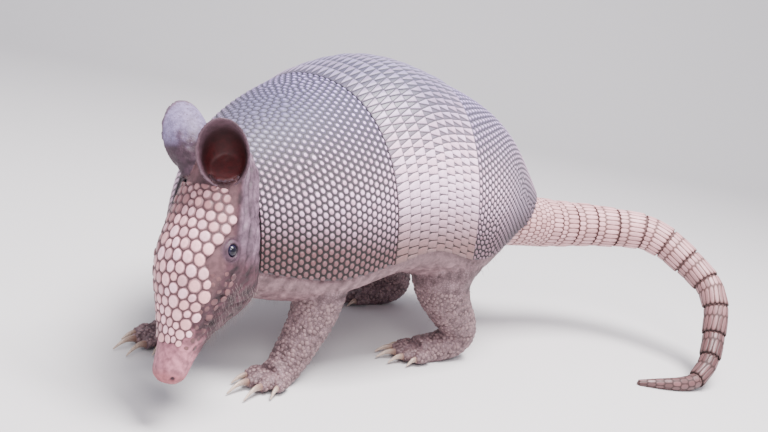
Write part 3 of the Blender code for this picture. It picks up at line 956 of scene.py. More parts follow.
# ---------------------------------------------------------------- scale patterns
@dataclass
class Cells:
    """Scales laid side by side on a plan: corners, polygons, middles, heights and shades.

    Pale is each scale's brightness and broad the size of its bright crown, both from 0 to 1.
    """

    corners: Array
    polygons: list[tuple[int, ...]]
    middles: Array
    grade: Array
    pale: Array
    broad: Array

    def only(self, kept: Array) -> "Cells":
        """The scales with the given numbers.

        Args:
            kept: Numbers of the scales to keep.

        Returns:
            The kept scales.
        """
        polygons = [self.polygons[index] for index in kept]
        looks = (values[kept] for values in (self.middles, self.grade, self.pale, self.broad))
        return Cells(self.corners, polygons, *looks)


def neighbours(points: Array, real: Array) -> bmesh.types.BMesh:
    """Triangles between points of a plan, at their places in the model.

    Args:
        points: Points of the plan.
        real: Their places in the model.

    Returns:
        The triangles, to be freed after use.
    """
    _, _, triangles, origins, _, _ = delaunay_2d_cdt([Vector(p) for p in points], [], [], 0, 1e-7)
    back = [row[0] for row in origins]
    form = bmesh.new()
    verts = [form.verts.new(place) for place in real]
    for face in triangles:
        form.faces.new([verts[back[i]] for i in face])
    form.verts.index_update()
    return form


def dual_cells(form: bmesh.types.BMesh, points: Array, keep: Array) -> tuple[Array, list[tuple[int, ...]]]:
    """Cells round points, whose corners are the middles of the triangles between them.

    Args:
        form: The triangles between the points.
        points: The points' places on the plan.
        keep: Which of them get a cell.

    Returns:
        The corners, and one polygon for each kept point, anticlockwise.
    """
    triangles = np.array([[vert.index for vert in face.verts] for face in form.faces])
    corners = points[triangles].mean(axis=1)
    around: list[list[int]] = [[] for _ in points]
    for index, face in enumerate(triangles):
        for corner in face:
            around[corner].append(index)
    polygons = []
    for index in np.flatnonzero(keep):
        ring = np.array(around[index])
        spokes = corners[ring] - points[index]
        polygons.append(tuple(ring[np.argsort(np.arctan2(spokes[:, 1], spokes[:, 0]))]))
    return corners, polygons


def even_cells(chart: Chart, pitch: "PitchRule", spread: float, relaxing: int, seed: int) -> Cells:
    """Rows of scales over a whole chart, set in each other's gaps.

    Args:
        chart: The plan of the surface.
        pitch: Distance between scales at points of the plan.
        spread: How irregular they are, as a share of the pitch.
        relaxing: Rounds that even the scales out.
        seed: Seed of the irregularity.

    Returns:
        The scales.
    """
    chance = np.random.default_rng(seed)
    rows, y, odd = [], -0.8 * pitch(0.0) * pitch.stretch, 0.0
    while y < chart.length + 1.6 * pitch(chart.length) * pitch.stretch:
        held = float(np.clip(y, 0.0, chart.length))
        low, high = chart.span(held)
        count = max(int(round((high - low) / pitch(held))), 3)
        xs = low + (high - low) * (np.arange(-1, count + 2) + 0.25 + 0.5 * odd) / count
        rows.append(np.column_stack((xs, np.full(len(xs), y))))
        y += 0.87 * pitch(held) * pitch.stretch
        odd = 1.0 - odd
    points = np.concatenate(rows)
    sizes = np.array([pitch(v) for v in points[:, 1]])
    points += chance.uniform(-0.5, 0.5, points.shape) * (spread * sizes)[:, None]
    low, high = chart.span(points[:, 1])
    x, y = points.T
    inside = (x > low) & (x < high) & (y > 0.0) & (y < chart.length)
    form = neighbours(points, chart.beside(points))
    for _ in range(relaxing):
        bmesh.ops.beautify_fill(form, faces=form.faces, edges=form.edges, method="ANGLE")
        corners, polygons = dual_cells(form, points, inside)
        points[inside] = [corners[list(face)].mean(axis=0) for face in polygons]
        for vert, place in zip(form.verts, chart.beside(points)):
            vert.co = place
    corners, polygons = dual_cells(form, points, inside)
    form.free()
    corners[:, 1] = np.clip(corners[:, 1], 0.0, chart.length)
    corners[:, 0] = np.clip(corners[:, 0], *chart.span(corners[:, 1]))
    whole = np.ones(len(polygons))
    cells = Cells(corners, polygons, points[inside], whole, whole, whole)
    area = np.array([outline_area(corners[list(face)]) for face in polygons])
    return cells.only(np.flatnonzero(area > 0.35 * np.median(area)))


def outline_area(outline: Array) -> float:
    """The area of a flat polygon."""
    x, y = outline.T
    return 0.5 * abs(float(x @ np.roll(y, -1) - y @ np.roll(x, -1)))


@dataclass(frozen=True)
class PitchRule:
    """Distance between scales along a plan, read between rows of (y, pitch)."""

    rows: tuple[tuple[float, float], ...]
    stretch: float = 1.0

    def __call__(self, y: float) -> float:
        """The pitch at a height of the plan."""
        return float(np.interp(y, *zip(*self.rows)))


@dataclass
class Plating:
    """A closed plate whose upper face is laid with scales."""

    chart: Chart
    cells: Cells
    thickness: float
    lift: float = 0.0

    def mesh(self, name: str, rise: Array | float = 0.0) -> bpy.types.Mesh:
        """The plate before its scales are raised.

        Args:
            name: The mesh's name.
            rise: Extra lift of each corner.

        Returns:
            A closed mesh with the attributes grade, pale, broad, tone and cell on its faces.
        """
        cells = self.cells
        used = sorted({corner for face in cells.polygons for corner in face})
        fresh = {corner: index for index, corner in enumerate(used)}
        plan = cells.corners[used]
        lifts = self.lift + (rise[used] if isinstance(rise, np.ndarray) else rise)
        top = self.chart.points(plan, lifts)
        under = self.chart.points(plan, lifts - self.thickness)
        tops = [tuple(fresh[corner] for corner in reversed(face)) for face in cells.polygons]
        count = len(used)
        unders = [tuple(corner + count for corner in reversed(face)) for face in tops]
        edges = {}
        for face in tops:
            for a, b in zip(face, face[1:] + face[:1]):
                edges[(a, b)] = edges.get((a, b), 0) + 1
        rims = [(b, a, a + count, b + count) for a, b in edges if (b, a) not in edges]
        mesh = mesh_from(name, np.concatenate((top, under)), tops + unders + rims)
        bare = len(unders) + len(rims)
        tone = np.random.default_rng(len(tops)).random(len(tops))
        marks = {
            "grade": (cells.grade, 0.0), "pale": (cells.pale, 1.0),
            "broad": (cells.broad, 0.0), "tone": (tone, 0.0),
        }
        for label, (values, elsewhere) in marks.items():
            note(mesh, label, "FLOAT", "FACE", np.concatenate((values, np.full(bare, elsewhere))))
        note(mesh, "cell", "INT", "FACE", np.concatenate((np.arange(len(tops)), np.full(bare, -1))))
        return mesh

    def unwrapped(self, mesh: bpy.types.Mesh) -> bpy.types.Mesh:
        """Lays the finished plate out on its own plan, as the map OFBake.

        Args:
            mesh: The plate with its scales raised.

        Returns:
            The same mesh.
        """
        step = 1e-4
        middles = self.cells.middles
        at = self.chart.points(middles)
        rightward = unit(self.chart.points(middles + (step, 0.0)) - at)
        onward = unit(self.chart.points(middles + (0.0, step)) - at)
        cell = whole_numbers(mesh.attributes["cell"].data, "value")
        vertex = whole_numbers(mesh.loops, "vertex_index")
        owner = np.repeat(cell, whole_numbers(mesh.polygons, "loop_total"))
        offset = positions(mesh)[vertex] - at[owner]
        across = middles[owner, 0] + (offset * rightward[owner]).sum(axis=1)
        along = middles[owner, 1] + (offset * onward[owner]).sum(axis=1)
        low, high = self.cells.corners.min(axis=0), self.cells.corners.max(axis=0)
        flat = (np.column_stack((across, along)) - low) / (high - low).max() * 0.9 + 0.05
        flat[owner < 0] = (flat[owner < 0] % 1.0) * 0.02
        layer = mesh.uv_layers.new(name="OFBake")
        layer.uv.foreach_set("vector", np.clip(flat, 0.0, 1.0).astype(np.float32).ravel())
        return mesh

    def add(
        self, name: str, scutes: Growth, look: bpy.types.Material, slot: str, rise: Array | float = 0.0,
        **sizes: float,
    ) -> None:
        """Raises the scales and adds them to the model.

        Args:
            name: The solid that they stand for.
            scutes: The tree that raises scales.
            look: Their finish.
            slot: Not used.
            rise: Extra lift of each corner.
            sizes: The tree's sizes.
        """
        raised = scutes.run(self.mesh(f"{name}_plan", rise), Material=look, **sizes)
        show(f"{name}_scales", self.unwrapped(raised), look, (name,))


def slab(chart: Chart, lift: float, thickness: float, rows: int = 30, columns: int = 90) -> bpy.types.Mesh:
    """A closed smooth plate over a whole chart.

    Args:
        chart: The plan of the surface.
        lift: Its upper face's height over the surface.
        thickness: Its thickness.
        rows: Points along it.
        columns: Points across it.

    Returns:
        The plate.
    """
    ys = np.linspace(0.0, chart.length, rows)
    low, high = chart.span(ys)
    shares = np.linspace(0.0, 1.0, columns)
    xs = low[:, None] + (high - low)[:, None] * shares
    plan = np.column_stack((xs.ravel(), np.repeat(ys, columns)))
    points = np.concatenate((chart.points(plan, lift), chart.points(plan, lift - thickness)))
    under = rows * columns
    faces = []
    for row in range(rows - 1):
        for column in range(columns - 1):
            a = row * columns + column
            faces.append((a, a + 1, a + columns + 1, a + columns))
            faces.append((a + under, a + columns + under, a + columns + 1 + under, a + 1 + under))
    rim = list(range(columns)) + [row * columns + columns - 1 for row in range(1, rows)]
    rim += [under - 1 - column for column in range(1, columns)]
    rim += [row * columns for row in range(rows - 2, 0, -1)]
    for a, b in zip(rim, rim[1:] + rim[:1]):
        faces.append((b, a, a + under, b + under))
    return turned_out(mesh_from("slab", points, faces))


# ---------------------------------------------------------------- armour
@dataclass(frozen=True)
class Shield:
    """A rigid shield: its stations, its scales' pitch, how granular it is, its seed and crown size."""

    name: str
    first: float
    last: float
    pitch: PitchRule
    granular: float
    seed: int
    crown: float


SCAPULAR = Shield(
    "scapular_shield", 0.0, 2.0, PitchRule(((0.0, 0.0046), (0.03, 0.0052), (0.10, 0.0051))), 1.0, 11, 0.50
)
PELVIC = Shield(
    "pelvic_shield", 4.0, 6.0, PitchRule(((0.0, 0.0054), (0.02, 0.0052), (0.07, 0.0046), (0.12, 0.0039))),
    0.25, 12, 0.44,
)


@dataclass
class Armour:
    """The shoulder shield, the nine movable bands and the hip shield."""

    form: ShellForm
    plate: float = 0.0032
    bands: int = 9
    band_scutes: int = 58
    band_rise: float = 0.0014
    band_front: float = 0.002
    band_overlap: float = 1.06
    shield_lift: float = -0.0005
    plate_drop: float = 0.0005
    scute_depth: float = 0.0009
    unevenness: float = 0.14
    relaxing: int = 5

    def shade(self, chart: Chart, cells: Cells, granular: float) -> None:
        """Sets each scale's height and paleness by its place, with painted shade on the low rear of the hip
        shield.

        Args:
            chart: The plan of the shield.
            cells: Its scales.
            granular: How much its top and front turn to fine low grain.
        """
        along, across = chart.places(cells.middles)
        flank = np.minimum(across, 1.0 - across)
        crest = ease(0.24, 0.42, flank)
        front = 1.0 - ease(0.7, 1.9, along)
        fine = granular * crest * (0.25 + 0.75 * front)
        cells.grade = 1.0 - 0.35 * fine
        # painted shade: the low rear of the hip shield is dulled, partly the scales' own darker look there
        rump = ease(4.4, 5.5, along) * ease(0.40, 0.20, flank)
        cells.pale = np.clip(1.0 - 0.85 * fine - 0.15 * ease(0.08, 0.0, flank) - 0.85 * rump, 0.0, 1.0)
        cells.broad = ease(0.27, 0.10, flank) - 0.6 * fine

    def shield(
        self, part: Shield, scutes: Growth, finish: bpy.types.Material, under: bpy.types.Material
    ) -> None:
        """Makes a rigid shield: rosettes over a smooth plate.

        Args:
            part: The shield.
            scutes: The tree that raises scales.
            finish: The scales' finish.
            under: The smooth plate's.
        """
        chart = Chart(self.form, (part.first, part.last), RIM_TO_RIM, 0.5)
        cells = even_cells(chart, part.pitch, self.unevenness, self.relaxing, part.seed)
        self.shade(chart, cells, part.granular)
        log.info("%s: %d scales", part.name, len(cells.polygons))
        plating = Plating(chart, cells, self.scute_depth, self.shield_lift)
        sizes = {"Shoulder": 0.72, "Crown": part.crown, "Height": 0.0012, "Rounding": 1}
        plating.add(part.name, scutes, finish, "shell_scale", **sizes)
        smooth = slab(chart, self.shield_lift - self.plate_drop, self.plate - self.scute_depth)
        show(f"{part.name}_plate", smooth, under, (part.name,))

    def band_cells(self, chart: Chart, number: int) -> tuple[Cells, Array]:
        """The scales of one band: pale ones that widen to its rear edge, and dark wedges between.

        Args:
            chart: The plan of the band.
            number: The band, from 0 at the front.

        Returns:
            The scales, and the extra lift of each corner.
        """
        count, length = self.band_scutes, chart.length
        edges = np.linspace(0.0, 1.0, count + 1)
        if number % 2:
            edges = np.concatenate(((0.0,), edges[:-1] + 0.5 / count, (1.0,)))
        flank = ease(0.30, 0.12, np.minimum(edges, 1.0 - edges))
        corners, polygons, grades, pales, broads = [], [], [], [], []

        def corner(share: float, y: float) -> int:
            """Adds a corner at a share of the band's width and returns its number.

            Args:
                share: Its place across the band, from 0 to 1.
                y: Its place along the plan.

            Returns:
                The corner's number.
            """
            low, high = chart.span(y)
            corners.append((low + (high - low) * min(max(share, 0.0), 1.0), y))
            return len(corners) - 1

        def scale(ring: tuple[int, ...], grade: float, pale: float, broad: float) -> None:
            """Adds a scale.

            Args:
                ring: Its corners' numbers.
                grade: Its height.
                pale: Its brightness.
                broad: The size of its crown.
            """
            polygons.append(ring)
            grades.append(grade)
            pales.append(pale)
            broads.append(broad)

        lefts, tips, rights, rears = [], [], [], []
        for edge, low_down in zip(edges, flank):
            half = 0.5 * (0.88 - 0.56 * low_down) / count
            lefts.append(corner(edge - half, 0.0))
            rights.append(corner(edge + half, 0.0))
            tips.append(corner(edge, (0.90 - 0.46 * low_down) * length))
            rears.append(corner(edge, length))
            if 0.0 < edge < 1.0:
                scale((lefts[-1], rights[-1], tips[-1]), 0.35, 0.05, 0.0)
        for i in range(len(edges) - 1):
            start = rights[i] if edges[i] > 0.0 else corner(0.0, 0.0)
            stop = lefts[i + 1] if edges[i + 1] < 1.0 else corner(1.0, 0.0)
            ring = (start, stop, tips[i + 1], rears[i + 1], rears[i], tips[i])
            scale(ring, 1.0, 1.0 - 0.2 * ease(0.06, 0.0, min(edges[i], 1.0 - edges[i])), flank[i])
        places = np.array(corners)
        middles = np.array([places[list(ring)].mean(axis=0) for ring in polygons])
        shades = (np.array(values) for values in (grades, pales, broads))
        return Cells(places, polygons, middles, *shades), self.band_rise * places[:, 1] / length

    def build(self, scutes: Growth, look: "Looks") -> None:
        """Makes every plate of the shell.

        Args:
            scutes: The tree that raises scales.
            look: The finishes.
        """
        self.shield(SCAPULAR, scutes, look.shell, look.under)
        self.shield(PELVIC, scutes, look.rump, look.under)
        width = (PELVIC.first - SCAPULAR.last) / self.bands
        sizes = {"Shoulder": 0.86, "Crown": 0.74, "Height": 0.0008, "Rounding": 0}
        for number in range(self.bands):
            first = SCAPULAR.last + number * width
            span = (first + self.band_front, first + width * self.band_overlap)
            chart = Chart(self.form, span, RIM_TO_RIM, 0.5)
            cells, rise = self.band_cells(chart, number)
            plating = Plating(chart, cells, self.plate)
            plating.add(f"band_{number + 1}", scutes, look.band, "shell_scale", rise, **sizes)


# ---------------------------------------------------------------- head shield and tail
@dataclass
class HeadShield:
    """The shield of large irregular scales over the crown and the muzzle."""

    form: HeadForm
    span: tuple[float, float] = (0.002, 0.093)
    edge: tuple[tuple[float, float], ...] = (
        (0.0, 86.0), (0.012, 92.0), (0.021, 94.0), (0.028, 80.0), (0.036, 71.0), (0.046, 73.0),
        (0.056, 79.0), (0.064, 85.0), (0.074, 83.0), (0.086, 82.0), (0.094, 80.0),
    )
    thickness: float = 0.0016
    lift: float = 0.0012
    pitch: PitchRule = PitchRule(
        ((0.0, 0.0046), (0.015, 0.0057), (0.035, 0.0063), (0.06, 0.0061), (0.088, 0.0043)), 1.22
    )
    unevenness: float = 0.62
    relaxing: int = 2

    def build(self, scutes: Growth, look: "Looks") -> None:
        """Makes the shield.

        Args:
            scutes: The tree that raises scales.
            look: The finishes.
        """
        widest = math.radians(max(angle for _, angle in self.edge))
        chart = Chart(self.form, self.span, (-widest, widest), 0.0)
        cells = even_cells(chart, self.pitch, self.unevenness, self.relaxing, 5)
        along, across = chart.places(cells.middles)
        limit = np.interp(along, *zip(*self.edge)) - 5.0
        cells = cells.only(np.flatnonzero(np.degrees(np.abs(across)) < limit))
        count = len(cells.polygons)
        along, across = chart.places(cells.middles)
        chance = np.random.default_rng(3)
        near_nose = ease(0.074, 0.092, along)
        cells.grade = chance.uniform(0.7, 1.2, count) * (1.0 - 0.6 * near_nose)
        # painted shade: scales on the head's right side and toward its back are duller, with smaller bright
        # crowns
        painted_shade = 0.75 * ease(10.0, -52.0, np.degrees(across)) + 0.80 * ease(0.040, 0.008, along)
        cells.pale = np.clip(chance.normal(1.0, 0.22, count) - 0.35 * near_nose - painted_shade, 0.05, 1.0)
        cells.broad = np.clip(1.1 - painted_shade + chance.normal(0.0, 0.25, count), 0.0, 1.0)
        plating = Plating(chart, cells, self.thickness, self.lift)
        sizes = {"Shoulder": 0.87, "Crown": 0.72, "Height": 0.0012, "Rounding": 1}
        plating.add("head_shield", scutes, look.head_scale, "head_scale", **sizes)
        log.info("head shield: %d scales", count)


@dataclass
class Tail:
    """The ringed tail: each ring a row of short scales and a row of long keeled ones."""

    form: TailForm
    scale_width: float = 0.0037
    short_share: float = 0.34
    wall: float = 0.0016
    core_depth: float = 0.0011
    flare: float = 0.0007
    root: float = 1.9
    joint_gap: float = 0.03
    ring_end: float = 0.985
    scale_height: float = 0.0006
    tip_height: float = 0.0003
    root_rows: tuple[float, ...] = (0.10, 0.20, 0.30, 0.40, 0.50, 0.60, 0.70, 1.0)

    def ring_mesh(self, name: str, first: float, last: float, rows: tuple[float, ...]) -> bpy.types.Mesh:
        """One ring as a closed wall laid with rows of scales.

        Args:
            name: The mesh's name.
            first: Its front joint.
            last: Its rear joint.
            rows: Share of the ring where each row ends, the last at 1.

        Returns:
            A closed mesh with the attributes grade, pale and tone on its faces.
        """
        girth = math.pi * float(self.form.joint(np.array(0.5 * (first + last)))[3])
        count = max(int(round(girth / self.scale_width)), 7)
        circle = np.arange(2 * count) * math.pi / count
        places = [first + (last - first) * share for share in (0.0, *rows)]
        lifts = [self.flare * (place - first) / (last - first) for place in places]
        outer = [self.form.at(place, circle, lift) for place, lift in zip(places, lifts)]
        inner = [self.form.at(place, circle, -self.wall) for place in (last, first)]
        points = np.concatenate(outer + inner)
        rounds = 2 * count
        faces, grades = [], []
        for row in range(len(places) - 1):
            for i in range(count):
                at = (2 * i + row % 2) % rounds
                mid, end = (at + 1) % rounds, (at + 2) % rounds
                low, high = row * rounds, (row + 1) * rounds
                faces.append((low + at, low + mid, low + end, high + end, high + mid, high + at))
                grades.append(0.75 if row == 0 and len(places) > 2 else 1.0)
        bands = (len(places) - 1, len(places), len(places) + 1)
        for low, high in ((bands[0], bands[1]), (bands[1], bands[2]), (bands[2], 0)):
            for i in range(rounds):
                j = (i + 1) % rounds
                a, b = low * rounds, high * rounds
                faces.append((a + i, a + j, b + j, b + i))
                grades.append(0.0)
        mesh = turned_out(mesh_from(name, points, faces))
        chance = np.random.default_rng(len(faces))
        note(mesh, "grade", "FLOAT", "FACE", np.array(grades))
        dulling = 0.55 * float(ease(4.0, 11.0, np.array(last)))
        pale = np.clip(chance.normal(0.88 - dulling, 0.13, len(faces)), 0.15, 1.0)
        note(mesh, "pale", "FLOAT", "FACE", pale)
        note(mesh, "broad", "FLOAT", "FACE", np.ones(len(faces)))
        note(mesh, "tone", "FLOAT", "FACE", chance.random(len(faces)))
        return mesh

    def core(self) -> bpy.types.Mesh:
        """The skin seen in the joints between the rings, down to the tip."""
        circle = full_turn(28)
        last = len(self.form.joints) - 1.0
        places = np.arange(-self.root, self.form.rings, 0.25)
        rings = [self.form.at(place, circle, -self.core_depth) for place in places]
        depth = self.core_depth * 0.5
        rings += [self.form.at(place, circle, -depth) for place in np.linspace(self.form.rings, last, 12)]
        for ring in rings:
            ring[:, 2] = np.maximum(ring[:, 2], 0.0002)
        return turned_out(mesh_from("tail_core", *loft(rings)))

    def build(self, scutes: Growth, look: "Looks") -> None:
        """Makes the core and every ring.

        Args:
            scutes: The tree that raises scales.
            look: The finishes.
        """
        show("tail_core", self.core(), look.joint)
        settings = {"Shoulder": 0.90, "Crown": 0.66, "Rounding": 1, "Material": look.tail_scale}
        for number in range(self.form.rings):
            first = number + self.joint_gap - (self.root if number == 0 else 0.0)
            rows = self.root_rows if number == 0 else (self.short_share, 1.0)
            plan = self.ring_mesh(f"tail_plan_{number + 1}", first, number + self.ring_end, rows)
            raised = scutes.run(plan, Height=self.scale_height, **settings)
            self.rest_on_floor(raised)
            name = f"tail_ring_{number + 1}"
            show(f"{name}_scales", raised, look.tail_scale, (name,))
        end = len(self.form.joints) - 1.0 - self.joint_gap
        rows = tuple(np.linspace(0.0, 1.0, 9)[1:])
        plan = self.ring_mesh("tail_tip_plan", self.form.rings + self.joint_gap, end, rows)
        raised = scutes.run(plan, Height=self.tip_height, **settings)
        self.rest_on_floor(raised)
        show("tail_tip_scales", raised, look.tail_scale, ("tail_tip",))

    def rest_on_floor(self, mesh: bpy.types.Mesh) -> None:
        """Flattens what would sink into the floor.

        Args:
            mesh: A mesh, which changes.
        """
        places = positions(mesh)
        places[:, 2] = np.maximum(places[:, 2], 0.0)
        move_to(mesh, places)


# ---------------------------------------------------------------- skin
@dataclass(frozen=True)
class Toe:
    """A toe: its place across the foot, its spread outwards, its length and its claw's."""

    offset: float
    spread: float
    length: float
    claw: float


@dataclass(frozen=True)
class Leg:
    """A left leg in the straight body: x, y, z and radius from hip to foot, and its toes."""

    name: str
    rows: tuple[tuple[float, ...], ...]
    toes: tuple[Toe, ...]
    strides: tuple[float, float]

    def placed(self, side: Side) -> Array:
        """The leg's rows on one side, with its foot set back by the stride.

        Args:
            side: Left or right.

        Returns:
            Its rows, with the foot set back by the stride.
        """
        rows = np.array(self.rows)
        stride = self.strides[side.place]
        rows[:, 1] += stride * (1.0 - rows[:, 2] / rows[0, 2])
        rows[:, 0] *= side.value
        return rows


FRONT_LEG = Leg(
    "front",
    (
        (0.040, -0.084, 0.094, 0.0240),
        (0.047, -0.080, 0.068, 0.0190),
        (0.048, -0.088, 0.040, 0.0148),
        (0.045, -0.099, 0.0185, 0.0125),
        (0.044, -0.107, 0.0085, 0.0112),
        (0.044, -0.119, 0.0060, 0.0096),
    ),
    (
        Toe(-0.0082, -16.0, 0.014, 0.011),
        Toe(-0.0030, -5.0, 0.021, 0.018),
        Toe(0.0030, 5.0, 0.020, 0.018),
        Toe(0.0082, 17.0, 0.013, 0.010),
    ),
    (0.006, -0.006),
)
HIND_LEG = Leg(
    "hind",
    (
        (0.044, 0.080, 0.098, 0.030),
        (0.056, 0.064, 0.072, 0.025),
        (0.060, 0.071, 0.046, 0.0175),
        (0.057, 0.090, 0.022, 0.0130),
        (0.057, 0.078, 0.0098, 0.0115),
        (0.058, 0.056, 0.0065, 0.0105),
    ),
    (
        Toe(-0.0092, -20.0, 0.013, 0.009),
        Toe(-0.0050, -9.0, 0.020, 0.013),
        Toe(0.0, 0.0, 0.022, 0.015),
        Toe(0.0050, 9.0, 0.020, 0.013),
        Toe(0.0092, 20.0, 0.013, 0.009),
    ),
    (-0.004, 0.005),
)


def tube(
    path: Array, radii: Array, sides: int, up: Colour = (0.0, 0.0, 1.0), squash: float = 1.0
) -> list[Array]:
    """Rings about a path.

    Args:
        path: Its points.
        radii: A radius for each point.
        sides: Points in a ring.
        up: The direction that is never sideways.
        squash: How far the rings are narrowed sideways.

    Returns:
        The rings.
    """
    angle = full_turn(sides)[:, None]
    rings = []
    for i, centre in enumerate(path):
        along = unit(path[min(i + 1, len(path) - 1)] - path[max(i - 1, 0)])
        sideways = unit(np.cross(along, up))
        upward = unit(np.cross(sideways, along))
        rings.append(centre + radii[i] * (sideways * (squash * np.cos(angle)) + upward * np.sin(angle)))
    return rings


def ripple(points: Array, size: float, seed: int, count: int = 9) -> Array:
    """Smooth irregular waves from -1 to 1 at the given points, size metres long.

    Args:
        points: Where to read them.
        size: Their length in metres.
        seed: Seed of their directions.
        count: How many waves are added.

    Returns:
        Heights, mostly from -1 to 1.
    """
    chance = np.random.default_rng(seed)
    total = np.zeros(len(points))
    for _ in range(count):
        wave = unit(chance.normal(size=3)) * (2.0 * math.pi / size) * chance.uniform(0.6, 1.5)
        total += np.sin(points @ wave + chance.uniform(0.0, 2.0 * math.pi))
    return total / math.sqrt(count)


def ridges(phase: Array) -> Array:
    """Rounded folds with narrow creases at whole phases, from -0.75 to 0.25."""
    return np.abs(np.sin(math.pi * phase)) ** 0.45 - 0.75


@dataclass
class Lump:
    """One closed loft of flesh, with its zone and a place (u, v) for each ring and point."""

    rings: list[Array]
    zone: Zone
    u: Array
    second: Zone | None = None
    second_from: int = 0

    def rows(self, number: int) -> tuple[Array, Array, Array, Array]:
        """The points, with the zone, the u and the place on the unwrap of each.

        Args:
            number: The lump's number, which picks its own cell of the unwrap.

        Returns:
            The points, zone numbers, us and places.
        """
        count = len(self.rings[0])
        zones = np.full(len(self.rings), self.zone.value)
        if self.second is not None:
            zones[self.second_from :] = self.second.value
        column, row = number % 6, number // 6
        across = (column + 0.05 + 0.9 * np.tile(np.arange(count) / count, len(self.rings))) / 6.0
        along = (row + 0.05 + 0.9 * np.repeat(np.linspace(0.0, 1.0, len(self.rings)), count)) / 6.0
        places = np.column_stack((across, along))
        return np.concatenate(self.rings), np.repeat(zones, count), np.repeat(self.u, count), places


@dataclass(frozen=True)
class Pigments:
    """The skin's colours."""

    cheek_light: Colour = (0.080, 0.030, 0.041)
    cheek_dark: Colour = (0.016, 0.0052, 0.0082)
    snout: Colour = (0.40, 0.160, 0.200)
    nose: Colour = (0.32, 0.105, 0.120)
    brow: Colour = (0.11, 0.052, 0.058)
    lid: Colour = (0.066, 0.033, 0.050)
    lid_rim: Colour = (0.022, 0.011, 0.018)
    neck_light: Colour = (0.175, 0.108, 0.152)
    neck_dark: Colour = (0.052, 0.029, 0.042)
    ear_back: Colour = (0.190, 0.155, 0.275)
    ear_foot: Colour = (0.050, 0.024, 0.038)
    ear_rim: Colour = (0.095, 0.052, 0.068)
    ear_inside: Colour = (0.020, 0.0025, 0.0040)
    ear_deep: Colour = (0.042, 0.0018, 0.0026)
    leg_light: Colour = (0.26, 0.17, 0.185)
    leg_dark: Colour = (0.10, 0.058, 0.064)
    belly_light: Colour = (0.30, 0.185, 0.200)
    belly_dark: Colour = (0.14, 0.082, 0.090)

    def __getitem__(self, name: str) -> Array:
        """One colour as an array."""
        return np.array(getattr(self, name))


